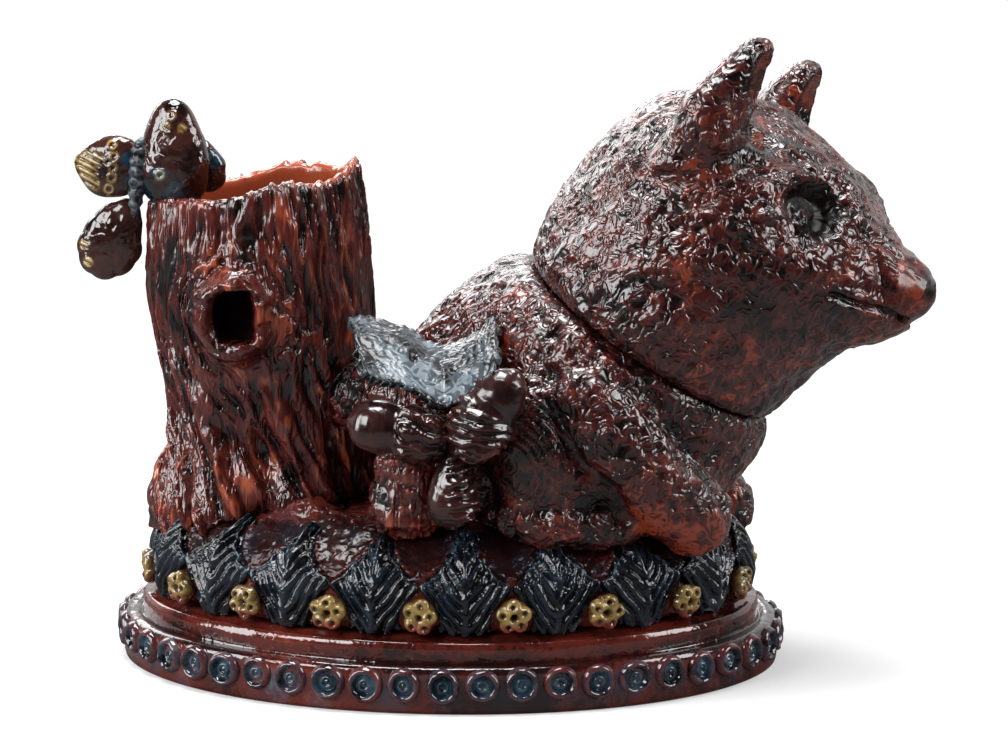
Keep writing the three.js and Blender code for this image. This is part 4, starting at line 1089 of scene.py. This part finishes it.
# leaves pressed round the mound: shoulders meet over each boss, sides sweep in to the tip
moundLeaf = {
    "count": 18, "turn": 0.42,
    "foot": 0.05, "tip": 0.93,
    "outline": (
        (0, 0.54), (0.2, 0.55), (0.32, 0.7), (0.42, 0.93), (0.47, 0.99), (0.53, 0.94),
        (0.62, 0.68), (0.75, 0.4), (0.88, 0.2), (1, 0.04),
    ),
    "columns": 40, "rows": 52, "depth": 2.6, "sheet": (14, 32, 60), "ragged": 0.6,
    "swell": 3.0, "thinner": 0.35, "edge": 0.7, "lobe": 0.07, "ribWidth": (1.43, 0.65), "ribHeight": 1.0,
    "veins": 5.5, "veinLean": 0.2, "veinCurve": 0.004, "veinEdge": (-0.8, 0.5), "veinHeight": 1.5,
    "rim": (0.95, 0.09), "rimFrom": (0.4, 0.5), "rimHeight": 1.2, "rimPlain": 0.6, "lump": 0.8,
    "tone": {"even": 0.12, "barbs": 0.25, "rib": 0.3, "rim": 0.35, "streaks": 0.6}, "toneLevel": 0.4,
}


def moundInset(rise):
    dome = leafMound["shoulder"] * (1 - np.sqrt(np.clip(1 - rise ** leafMound["shoulderPower"], 0, 1)))
    return dome - leafMound["bulge"] * np.sin(math.pi * rise ** leafMound["bulgePower"])


def moundSpots(share, rise):
    turn = np.interp(share % 1, moundShares, moundTurns)
    inset = moundInset(rise)
    x = (leafMound["halfLength"] - inset) * np.cos(turn)
    y = (leafMound["halfWidth"] - inset) * np.sin(turn)
    return np.column_stack((x, y, leafMound["base"] + rise * leafMound["height"])) * mm


def leafHalfWidth(piece, t):
    marks, shares = zip(*piece["outline"])
    return np.interp(t, marks, shares) * moundRun[-1] / piece["count"] / 2


def makeMound(piece):
    mound = clayFrom("leafMound", piece)
    middles, facing = readFaces(mound)
    low, high = piece["fineFacing"]
    level = (middles[:, 2] / mm - piece["base"]) / piece["height"]
    inward = (middles * facing)[:, :2].sum(1) < 0
    refine(mound, (level > piece["fineFrom"]) & ~(inward & (facing[:, 2] < high)) & (facing[:, 2] > low))
    spots, outward = readSkin(mound)
    level = np.clip((spots[:, 2] / mm - piece["base"]) / piece["height"], 0, 1)
    inset = moundInset(level)
    turn = np.arctan2(spots[:, 1] / (piece["halfWidth"] - inset), spots[:, 0] / (piece["halfLength"] - inset))
    share = np.interp(turn % fullTurn, moundTurns, moundShares)
    offset = (share * moundLeaf["count"] - moundLeaf["turn"]) % 1 - 0.5
    t = (level - moundLeaf["foot"]) / (moundLeaf["tip"] - moundLeaf["foot"])
    aside = np.abs(offset) * moundRun[-1] / moundLeaf["count"] - leafHalfWidth(moundLeaf, t)
    outside = softStep(*piece["outside"], outward[:, 2] + unit(spots * flat)[:, 0] * outward[:, 0])

    # a beaded strip beside each leaf, a toe of the root and two buds
    strip = softStep(*piece["stripFoot"], t) * (1 - softStep(*piece["stripTip"], t))
    beads = np.abs(np.sin(math.pi * (spots[:, 2] / mm / piece["beadPitch"])))
    beads = strip * bell(aside, piece["beadOff"], piece["beadWidth"]) * beads
    dimples = evened(grain(stirred(spots, 5, 1.2, 70), piece["dimpleSize"], 71))
    dimples = softStep(*piece["dimpleEdge"], dimples)
    toe = nearLine(spots, pathUnder(mound, piece["toe"]), piece["toeReach"])
    bud = np.max([near(spots, spot, piece["budReach"]) for spot in pathUnder(mound, piece["bud"])], axis=0)
    dimpled = thinned(piece["dimpled"], lobes=np.clip(toe + bud, 0, 1), strip=strip)
    rise = piece["dimple"] * (dimples - piece["dimpleLevel"]) * dimpled
    rise += piece["swell"] * ripple(spots, 9, 72) + piece["beadHeight"] * beads
    rise += piece["toeHeight"] * toe + piece["budHeight"] * bud
    raiseSkin(mound, spots, outward, rise * outside)
    relief = mixed(
        piece["tone"], dimples=dimples * dimpled, broad=ripple(spots, 20, 73), toe=toe, bud=bud,
        strip=strip * (1 - beads),
    )
    runs = strip * softStep(*piece["runEdge"], evened(grain(spots, 8, 74)))
    writeShade(mound, relief=relief, blue=piece["runShare"] * runs)
    dress(mound, moundGlaze, piece["nodes"])


makeMound(leafMound)


def makeLeaves(piece):
    for index in range(piece["count"]):
        leaf, sheet = newGrid(f"moundLeaf{index + 1:02d}", piece["columns"], piece["rows"])
        u = sheet[:, 0]
        t = (sheet[:, 1] + 1) / 2
        seeds = np.column_stack((u, t, 0 * t + index)) * np.array(piece["sheet"]) * mm
        ragged = piece["ragged"] * ripple(seeds, 5, 75) * np.abs(u)
        lobes = 1 + piece["lobe"] * waves(t * piece["veins"] + grain(seeds * np.array((0, 1, 1)), 9, 79), 1)
        across = u * leafHalfWidth(piece, t) * np.where(t > 0.5, lobes, 1) + ragged * np.sign(u)
        share = (index + 0.5 + piece["turn"]) / piece["count"] + across / moundRun[-1]
        rise = piece["foot"] + t * (piece["tip"] - piece["foot"])
        spot = moundSpots(share, rise)
        aside = moundSpots(share + 1e-4, rise) - spot
        upward = moundSpots(share, np.clip(rise + 1e-3, 0, 1)) - spot
        out = unit(np.cross(aside, upward))
        ribFoot, ribTaper = piece["ribWidth"]
        rib = bell(across, 0, ribFoot - ribTaper * t)
        phase = t * piece["veins"] - np.abs(across) * piece["veinLean"] - piece["veinCurve"] * across**2
        barbs = softStep(*piece["veinEdge"], waves(phase + 0.8 * grain(seeds, 7, 76), 1))
        rim = bell(np.abs(u), *piece["rim"]) * softStep(*piece["rimFrom"], t)
        height = piece["edge"] + piece["swell"] * (1 - u**2) * (1 - piece["thinner"] * t)
        height += piece["ribHeight"] * rib + piece["rimHeight"] * rim + piece["lump"] * ripple(seeds, 4, 77)
        height += piece["veinHeight"] * (barbs - 0.5) * (1 - rib) * (1 - piece["rimPlain"] * rim)
        raiseSkin(leaf, spot, out, height)
        barbed = (barbs - piece["toneLevel"]) * (1 - rib)
        relief = mixed(piece["tone"], barbs=barbed, rib=rib, rim=rim, streaks=specks(seeds, 7, 78))
        writeShade(leaf, relief=relief)
        applyModifier(leaf, "SOLIDIFY", thickness=piece["depth"] * mm, offset=-1)
        dress(leaf, leafGlaze, (f"mound_leaf_{index + 1:02d}",))


makeLeaves(moundLeaf)

# bosses: gold rosettes between the feet of the leaves, petals rolled up round their pits
goldBoss = {
    "count": 18, "radius": 7.0, "depth": 5.6, "petals": 5, "voxel": 0.42, "rounds": 2, "ball": (24, 14),
    "heart": ((0, 0, 0.3), (0.92, 0.92, 0.6)), "ring": 0.56, "petal": (0.47, 0.47, 0.55), "petalRise": 0.55,
    "pitRing": 0.62, "pitTurn": 0.12, "pitReach": 1.0, "heartPit": 1.2, "pitDepth": 2.2, "front": (0.1, 0.7),
    "lump": 1.6, "sizes": (0.93, 1.05), "seed": 11, "top": (0.3, 0.95), "foot": (0.1, 0.8),
    "tone": {"even": 0.3, "top": 0.55, "pit": -0.8},
}


def makeBossClay(piece):
    turns = [fullTurn * index / piece["petals"] for index in range(piece["petals"])]
    balls = [piece["heart"]]
    for turn in turns:
        place = (piece["ring"] * math.cos(turn), piece["ring"] * math.sin(turn), piece["petalRise"])
        balls.append((place, piece["petal"]))
    scale = np.array((piece["radius"], piece["radius"], piece["depth"])) * mm
    made = []
    for place, size in balls:
        ball, spots = newBall(*piece["ball"])
        writeSkin(ball, (spots * np.array(size) + np.array(place)) * scale)
        made.append(ball)
    boss = joinAll(made, "bossPattern")
    remesh(boss, piece)
    spots, outward = readSkin(boss)
    pit = bell(np.linalg.norm(spots[:, :2], axis=1) / mm, 0, piece["heartPit"])
    for turn in turns:
        way = np.array((math.cos(turn + piece["pitTurn"]), math.sin(turn + piece["pitTurn"])))
        spot = way * piece["pitRing"] * piece["radius"] * mm
        pit += bell(distance(spots[:, :2], spot), 0, piece["pitReach"])
    pit *= softStep(*piece["front"], outward[:, 2])
    spots[:, 2] -= pit * piece["pitDepth"] * mm
    writeSkin(boss, spots)
    top = softStep(*piece["top"], spots[:, 2] / spots[:, 2].max())
    writeShade(boss, relief=mixed(piece["tone"], top=top, pit=pit))
    return boss


def makeBosses(piece):
    pattern = makeBossClay(piece)
    rng = np.random.default_rng(piece["seed"])
    for number in range(1, piece["count"] + 1):
        node = f"flower_boss_{number:02d}"
        boss = pattern.copy()
        boss.data = pattern.data.copy()
        boss.name = f"goldBoss{number:02d}"
        bpy.context.scene.collection.objects.link(boss)

        # the flat side of the node's solid is the seat
        corners = readVectors(frame["nodes"][node].data.vertices, "co")
        middle = nodeMiddle(node)
        out = np.linalg.eigh(np.cov((corners - middle).T))[1][:, 0]
        out = out * np.sign(out @ (middle * flat))
        seat = middle - out * ((middle - corners) @ out).max()
        side = unit(np.cross((0, 0, 1.0), out))
        turn = rng.uniform(0, 1)
        right = math.cos(turn) * side + math.sin(turn) * np.cross(out, side)
        spots, _ = readSkin(boss)
        spots = spots * rng.uniform(*piece["sizes"], 3)
        spots = spots @ np.array((right, np.cross(out, right), out)) + seat
        spots += ripple(spots, 2.5, number)[:, None] * piece["lump"] * mm * out
        writeSkin(boss, spots)
        writeShade(boss, clay=softStep(*piece["foot"], (seat - spots)[:, 2] / (piece["radius"] * mm)))
        dress(boss, bossGlaze, (node,))
    bpy.data.objects.remove(pattern)


makeBosses(goldBoss)

# branch: bough and stem that carry the leaf and acorns; the bough behind the stump lies lower, and is darker
# and duller as painted shade
leafBranch = {
    "nodes": ("branch",), "voxel": 0.95, "rounds": 8, "flow": (1.0, 0, -0.15),
    "scratch": (12, 1.9, 81), "scratchEdge": (0.2, 0.75), "scratchHeight": 1.1, "scratchLevel": 0.6,
    "lump": 1.8, "behind": (-38, -22), "behindDepth": 4.5, "behindMatt": 0.45,
    "tone": {"even": 0.12, "scratches": 0.3, "broad": 0.6, "behind": -0.35},
}


def makeBranch(piece):
    branch = clayFrom("leafBranch", piece)
    spots, outward = readSkin(branch)
    flow = along(np.array(piece["flow"]) + 0 * spots, outward)
    scratches = softStep(*piece["scratchEdge"], combed(spots, flow, *piece["scratch"]))
    behind = 1 - softStep(*piece["behind"], spots[:, 0] / mm)
    rise = piece["scratchHeight"] * (scratches - piece["scratchLevel"]) + piece["lump"] * ripple(spots, 7, 82)
    raiseSkin(branch, spots, outward, rise - piece["behindDepth"] * behind)
    # painted shade: the part behind the stump is darker and less glossy, as it lies in the stump's shadow
    relief = mixed(piece["tone"], scratches=scratches, broad=ripple(spots, 12, 83), behind=behind)
    writeShade(branch, relief=relief, matt=piece["behindMatt"] * behind)
    dress(branch, barkGlaze, piece["nodes"])


makeBranch(leafBranch)

# leaf on the branch: rows of pixels from its torn front edge to its back edge, with their depths in mm
slateLeaf = {
    "nodes": ("branch_leaf",), "columns": 130, "rows": 80, "thickness": 3.4, "sheet": (52, 40, 0),
    "edges": (
        (-81, (
            (364, 369), (378, 378), (392, 382), (406, 386), (423, 395), (446, 407), (464, 399), (480, 386),
            (493, 374),
        )),
        (-68, (
            (356, 343), (373, 348), (391, 352), (408, 357), (424, 367), (444, 374), (461, 367), (479, 358),
            (495, 350),
        )),
        (-47, (
            (349, 316), (371, 314), (394, 320), (411, 329), (428, 342), (444, 345), (461, 340), (481, 327),
            (494, 315),
        )),
    ),
    "pleats": 15, "pleatFan": (0.55, 1.15, 0.3), "pleatSway": 1.2, "pleatHeight": 0.4,
    "rim": (0.86, 1.0), "folded": (0.72, 0.9), "foldShare": 0.8, "foldLeast": 0.08,
    "lump": 2.4, "fine": 0.3, "tear": 2.4,
    "hole": ((413, 357),), "holePlace": -66, "holeReach": 2.2, "holeDepth": 2.0,
    "tone": {"even": 0.2, "pleats": 0.15, "blotches": 0.8, "rim": -0.35, "pit": -0.9},
}


def makeSlateLeaf(piece):
    leaf, sheet = newGrid("slateLeaf", piece["columns"], piece["rows"])
    u, v, _ = (sheet.T + 1) / 2
    rows = []
    for depth, edge in piece["edges"]:
        places = np.linspace(0, 1, len(edge))
        rows.append(np.column_stack([np.interp(u, places, marks) for marks in atDepth(edge, depth).T]))
    first, _, last = rows
    shares = ((1 - v) * (1 - 2 * v), 4 * v * (1 - v), v * (2 * v - 1))
    spots = sum(share[:, None] * row for share, row in zip(shares, rows))
    seeds = np.column_stack((u, v, u)) * np.array(piece["sheet"]) * mm
    middle, wide, narrower = piece["pleatFan"]
    spread = (u - middle) * (wide - narrower * v)
    pleats = waves(spread * piece["pleats"] + piece["pleatSway"] * grain(seeds, 8, 91), 1)
    rim = softStep(*piece["rim"], np.maximum(np.abs(2 * u - 1), np.abs(2 * v - 1)))
    pit = near(spots, atDepth(piece["hole"], piece["holePlace"]), piece["holeReach"])
    fold = np.clip(rim + piece["foldShare"] * softStep(*piece["folded"], u), piece["foldLeast"], 1)
    rise = piece["pleatHeight"] * pleats * fold + piece["lump"] * ripple(seeds, 9, 92)
    rise += piece["fine"] * ripple(stirred(seeds, 3, 1.2, 96), 1.9, 93) - piece["holeDepth"] * pit
    out = unit(np.cross(last[0] - first[0], first[-1] - first[0]))
    out = out * np.sign(out[2])
    spots += (rim * ripple(seeds, 5, 95) * piece["tear"] * mm)[:, None] * unit(last - first)
    raiseSkin(leaf, spots, out, rise)
    relief = mixed(piece["tone"], pleats=pleats * fold, blotches=specks(seeds, 8, 94), rim=rim, pit=pit)
    writeShade(leaf, relief=relief)
    _, outward = readSkin(leaf)
    if outward[:, 2].mean() < 0:
        leaf.data.flip_normals()
    applyModifier(leaf, "SOLIDIFY", thickness=piece["thickness"] * mm, offset=-1)
    dress(leaf, slateGlaze, piece["nodes"])


makeSlateLeaf(slateLeaf)

# acorns: from the pixel at the cup's end to the one at the tip, girth in mm along the way
acorn = {
    "depth": -77, "ball": (120, 110), "soften": (0.02, 0.04), "pole": 0.02, "cupEdge": 0.02,
    "calmEnd": (0, 0.04), "rowSway": 0.9, "lump": 0.9,
    "scaleHeight": 1.5, "scaleRound": 1.3, "scaleLevel": 0.3, "scaleSizes": (0.45, 1.1),
    "tone": {"even": 0.3, "scales": 0.35, "cup": -0.15, "broad": 0.6},
    "nuts": {
        "acorn_left": {
            "ends": ((450, 440), (346, 421)), "pitch": 4.4, "cup": 0.5, "tilt": 0.3,
            "girth": (
                (0, 3), (0.06, 6), (0.2, 9), (0.38, 10.6), (0.45, 10.2), (0.5, 8.8), (0.66, 10), (0.82, 9.2),
                (0.93, 6.4), (1, 0),
            ),
        },
        "acorn_right": {
            "ends": ((458, 456), (519, 370)), "pitch": 4.0, "cup": 0.55, "tilt": 0.12,
            "girth": (
                (0, 4), (0.08, 8), (0.25, 11), (0.45, 12.4), (0.53, 12), (0.58, 10), (0.72, 9.8), (0.86, 7.6),
                (0.95, 4.6), (1, 0),
            ),
        },
        "acorn_lower": {
            "ends": ((451, 449), (452, 530)), "pitch": 3.6, "cup": 0.86, "tilt": -0.2, "half": 2.5,
            "girth": (
                (0, 1.5), (0.15, 4), (0.35, 7), (0.55, 9), (0.7, 9.4), (0.85, 7.8), (0.95, 4.6), (1, 0),
            ),
        },
    },
}


def makeAcorn(piece, node, nut):
    clay, ball = newBall(*piece["ball"])
    clay.name = node.title().replace("_", "")
    start, end = atDepth(nut["ends"], piece["depth"])
    axis = unit(end - start)
    side = unit(np.cross(axis, (0, 1.0, 0)))
    share = np.arccos(np.clip(-ball[:, 2], -1, 1)) / math.pi
    turn = np.arctan2(ball[:, 1], ball[:, 0])
    marks, girths = zip(*nut["girth"])
    girth = np.interp(share, marks, girths)
    for step in piece["soften"]:
        girth = (girth + np.interp(share - step, marks, girths) + np.interp(share + step, marks, girths)) / 3
    girth *= np.sqrt(np.clip(np.minimum(share, 1 - share) / piece["pole"], 0, 1))
    spoke = np.cos(turn)[:, None] * side + np.sin(turn)[:, None] * np.cross(axis, side)
    spots = start + share[:, None] * (end - start) + spoke * (girth * mm)[:, None]
    cup = 1 - softStep(nut["cup"] - piece["cupEdge"], nut["cup"] + piece["cupEdge"], share)
    if "half" in nut:
        cup *= softStep(-nut["half"], nut["half"], (spots - start)[:, 0] / mm)
    lean = np.array((math.sin(nut["tilt"]), 0, math.cos(nut["tilt"])))
    row = spots @ lean / (nut["pitch"] * mm) + piece["rowSway"] * ripple(spots, 6, 97)
    least, more = piece["scaleSizes"]
    scales = np.sin(math.pi * (row % 1)) ** piece["scaleRound"] * (least + more * grain(spots, 2.2, 98))
    rise = cup * piece["scaleHeight"] * (scales - piece["scaleLevel"]) + piece["lump"] * ripple(spots, 7, 95)
    rise *= softStep(*piece["calmEnd"], share) * softStep(*piece["calmEnd"], 1 - share)
    raiseSkin(clay, spots, spoke, rise)
    relief = mixed(piece["tone"], scales=cup * scales, cup=cup, broad=ripple(spots, 9, 96))
    writeShade(clay, relief=relief)
    faceOut(clay)
    dress(clay, nutGlaze, (node,))


for node, nut in acorn["nuts"].items():
    makeAcorn(acorn, node, nut)

# butterfly on the rim: pillows of clay, each drawn by its outline in pixels, and painted there
butterfly = {
    "nodes": ("butterfly_body",), "voxel": 0.8, "rounds": 6,
    "bandPitch": 4.2, "bandHeight": 0.3, "slimmer": 1.2, "bodyTone": {"even": 0.2, "bands": 0.1},
    "ball": (120, 60), "pixel": 0.39, "soften": (0.06, 0.12), "front": (0, 0.4), "lump": 1.0, "fine": 0.5,
    "paint": (0.3, 0.55), "paintGrain": 0.3, "ring": (1.6, 0.6), "ringHeight": 0.8, "ringGold": 0.7,
    "toothPitch": 2.6, "toothLean": 0.5, "toothHeight": 0.8,
    "tone": {"even": 0.25, "broad": 0.6, "rings": 0.5, "gold": 0.2, "teeth": 0.3},
    "wings": {
        "butterfly_wings_left": (
            {
                "heart": (110, 168), "depth": -12, "swell": 6.5, "scallop": (0, 0),
                "outline": (
                    (74, 158), (84, 149), (98, 139), (117, 135), (135, 141), (139, 166), (137, 189),
                    (113, 197), (94, 194), (82, 180),
                ),
                "gold": (
                    ((80, 162), 3.2), ((86, 158), 3.2), ((88, 172), 4.2), ((92, 184), 3.6), ((96, 160), 3.4),
                ),
                "blue": (((128, 160), 3.4), ((132, 182), 3)),
                "rings": ((112, 145), (114, 157), (113, 168), (112, 178), (109, 189)),
            },
            {
                "heart": (110, 242), "depth": -10, "swell": 6, "scallop": (9, 0.05),
                "outline": (
                    (108, 204), (127, 197), (139, 205), (140, 233), (137, 262), (122, 275), (103, 279),
                    (88, 273), (79, 258), (78, 242), (86, 226), (97, 212),
                ),
                "gold": (((84, 245), 2.2), ((88, 262), 2.2)), "blue": (), "rings": (),
            },
        ),
        "butterfly_wings_right": (
            {
                "heart": (175, 162), "depth": -14, "swell": 9, "scallop": (0, 0),
                "outline": (
                    (169, 97), (182, 99), (191, 110), (199, 128), (207, 150), (209, 172), (205, 192),
                    (196, 203), (175, 206), (152, 202), (141, 188), (139, 165), (143, 143), (149, 122),
                    (157, 104),
                ),
                "gold": (((166, 126), 1.8), ((182, 128), 1.8)),
                "blue": (((159, 174), 3.6), ((178, 198), 7), ((146, 190), 4)),
                "rings": ((171, 116), (160, 175)),
            },
            {
                "heart": (212, 168), "depth": -6, "swell": 5, "scallop": (5, 0.05),
                "outline": (
                    (203, 138), (213, 147), (221, 156), (225, 172), (222, 187), (211, 192), (200, 189),
                    (196, 170), (197, 150),
                ),
                "gold": (), "blue": (((214, 160), 4),), "rings": (),
            },
        ),
    },
}


def makeWing(piece, wing):
    clay, ball = newBall(*piece["ball"])
    heart = np.array(wing["heart"])
    spokes = np.array(wing["outline"]) - heart
    turns = np.arctan2(spokes[:, 1], spokes[:, 0])
    reaches = np.linalg.norm(spokes, axis=1)
    turn = np.arctan2(ball[:, 1], ball[:, 0])

    def edgeAt(turn):
        return np.interp(turn, turns, reaches, period=fullTurn)

    edge = edgeAt(turn)
    for step in piece["soften"]:
        edge = (edge + edgeAt(turn - step) + edgeAt(turn + step)) / 3
    count, deep = wing["scallop"]
    edge *= 1 + deep * (np.abs(np.sin(turn * count / 2)) - 0.5)
    share = np.linalg.norm(ball[:, :2], axis=1)
    pixels = heart + (share * edge)[:, None] * np.column_stack((np.cos(turn), np.sin(turn)))
    spots = atDepth(pixels, wing["depth"] - ball[:, 2] * wing["swell"])

    def pixelReach(pixel):
        return np.linalg.norm(pixels - np.array(pixel), axis=1) * piece["pixel"]

    def painted(marks):
        mask = np.max([0 * share, *[bell(pixelReach(pixel), 0, reach) for pixel, reach in marks]], axis=0)
        return softStep(*piece["paint"], mask + piece["paintGrain"] * ripple(spots, 4, 104))

    gold = painted(wing["gold"])
    rings = np.max([0 * share, *[bell(pixelReach(pixel), *piece["ring"]) for pixel in wing["rings"]]], axis=0)
    teeth = waves((pixels[:, 1] - piece["toothLean"] * pixels[:, 0]) * piece["pixel"], piece["toothPitch"])
    rise = piece["lump"] * ripple(spots, 6, 101) + piece["fine"] * ripple(spots, 2.2, 103)
    carved = piece["ringHeight"] * rings + piece["toothHeight"] * gold * teeth
    rise += softStep(*piece["front"], ball[:, 2]) * carved
    rise *= np.sign(ball[:, 2]) * np.sqrt(np.abs(ball[:, 2]))
    raiseSkin(clay, spots, -unit(pixelWays(pixels)), rise)
    relief = mixed(piece["tone"], broad=ripple(spots, 8, 102), rings=rings, gold=gold, teeth=gold * teeth)
    gilt = np.maximum(gold, piece["ringGold"] * rings)
    writeShade(clay, relief=relief, blue=painted(wing["blue"]), gold=gilt)
    return clay


def makeButterfly(piece):
    trunk = clayFrom("butterflyBody", piece)
    spots, outward = readSkin(trunk)
    bands = waves(spots[:, 2] / mm, piece["bandPitch"])
    raiseSkin(trunk, spots, outward, piece["bandHeight"] * bands - piece["slimmer"])
    writeShade(trunk, relief=mixed(piece["bodyTone"], bands=bands))
    dress(trunk, slateGlaze, piece["nodes"])
    for node, wings in piece["wings"].items():
        pair = joinAll([makeWing(piece, wing) for wing in wings], node.title().replace("_", ""))
        faceOut(pair)
        dress(pair, wingGlaze, (node,))


makeButterfly(butterfly)

# table, light and camera
studio = {
    "ambient": 0.3,
    "roomDark": 0.02, "roomPale": 0.9, "roomTurn": (0.1, 0.75),
    "tableSize": 8, "tableNear": (0.5, 0.5, 0.5), "tableFar": (0.05, 0.05, 0.05),
    "tableEdge": (0.2, 0.75), "tableGlow": (0.34, 1.0), "tableGloss": 0.85, "tableRough": 0.9,
    "white": (1, 1, 1), "seen": ("Is Camera Ray", "Is Transmission Ray"),
    "lamps": (
        ("keyLamp", (-0.9, -1.05, 0.85), 0.6, 0.6, 11.0),
        ("leftLamp", (-1.25, -0.5, 0.55), 0.5, 1.0, 14.0),
        ("rightLamp", (1.05, -0.2, 0.7), 0.5, 0.8, 10.0),
        ("topLamp", (-0.1, 0.05, 1.35), 0.8, 0.7, 28.0),
        ("backLamp", (-0.6, 1.0, 0.72), 1.4, 0.6, 13.0),
    ),
}


def rayMask(tree, *rays):
    path = tree.nodes.new("ShaderNodeLightPath").outputs
    seen = path[rays[0]]
    for ray in rays[1:]:
        seen = mathNode(tree, "MAXIMUM", seen, path[ray])
    return seen


# white to the eye; in the gloss, pale behind the jar and dark in front, as a studio is
def makeWorld(piece):
    world = bpy.data.worlds.new("paleRoom")
    bpy.context.scene.world = world
    world.use_nodes = True
    tree = world.node_tree
    seen = rayMask(tree, *piece["seen"])
    gloss = rayMask(tree, "Is Glossy Ray")
    way = tree.nodes.new("ShaderNodeSeparateXYZ")
    feed(tree, tree.nodes.new("ShaderNodeTexCoord").outputs["Generated"], way.inputs["Vector"])
    room = rangeNode(tree, way.outputs["Y"], *piece["roomTurn"], piece["roomDark"], piece["roomPale"])
    more = mathNode(tree, "SUBTRACT", room, piece["ambient"])
    strength = mathNode(tree, "MULTIPLY_ADD", gloss, more, piece["ambient"])
    missing = mathNode(tree, "SUBTRACT", 1.0, strength)
    strength = mathNode(tree, "MULTIPLY_ADD", seen, missing, strength)
    feed(tree, piece["white"], tree.nodes["Background"].inputs["Color"])
    feed(tree, strength, tree.nodes["Background"].inputs["Strength"])


def makeTable(piece):
    pickNothing()
    bpy.ops.mesh.primitive_plane_add(size=piece["tableSize"])
    table = bpy.context.object
    table.name = "paleTable"
    paint = bpy.data.materials.new("paleTable")
    paint.use_nodes = True
    tree = paint.node_tree
    shader = tree.nodes["Principled BSDF"].inputs
    reach = tree.nodes.new("ShaderNodeVectorMath")
    reach.operation = "LENGTH"
    feed(tree, tree.nodes.new("ShaderNodeTexCoord").outputs["Object"], reach.inputs[0])
    far = rangeNode(tree, reach.outputs["Value"], *piece["tableEdge"])
    gloss = mathNode(tree, "MULTIPLY", rayMask(tree, "Is Glossy Ray"), piece["tableGloss"])
    fade = mathNode(tree, "MAXIMUM", far, gloss)
    feed(tree, blendNode(tree, fade, piece["tableNear"], piece["tableFar"]), shader["Base Color"])
    feed(tree, piece["tableRough"], shader["Roughness"])
    feed(tree, 0, shader["Specular IOR Level"])
    feed(tree, piece["white"], shader["Emission Color"])
    glow = rangeNode(tree, reach.outputs["Value"], *piece["tableEdge"], *piece["tableGlow"])
    feed(tree, mathNode(tree, "MULTIPLY", rayMask(tree, *piece["seen"]), glow), shader["Emission Strength"])
    table.data.materials.append(paint)


def makeLamps(piece):
    aim = Vector(view["aim"])
    for name, place, width, height, power in piece["lamps"]:
        lamp = bpy.data.lights.new(name, "AREA")
        lamp.shape = "RECTANGLE"
        lamp.size = width
        lamp.size_y = height
        lamp.energy = power
        holder = bpy.data.objects.new(name, lamp)
        holder.location = place
        holder.rotation_euler = (aim - Vector(place)).to_track_quat("-Z", "Y").to_euler()
        bpy.context.scene.collection.objects.link(holder)


def makeCamera(piece):
    lens = bpy.data.cameras.new("photoCamera")
    lens.lens = piece["lens"]
    lens.sensor_width = piece["sensor"]
    camera = bpy.data.objects.new("photoCamera", lens)
    camera.location = piece["place"]
    camera.rotation_euler = viewTurn.to_euler()
    bpy.context.scene.collection.objects.link(camera)
    bpy.context.scene.camera = camera


makeWorld(studio)
makeTable(studio)
makeLamps(studio)
makeCamera(view)
bpy.context.scene.view_settings.view_transform = "Standard"
print("studio ready")
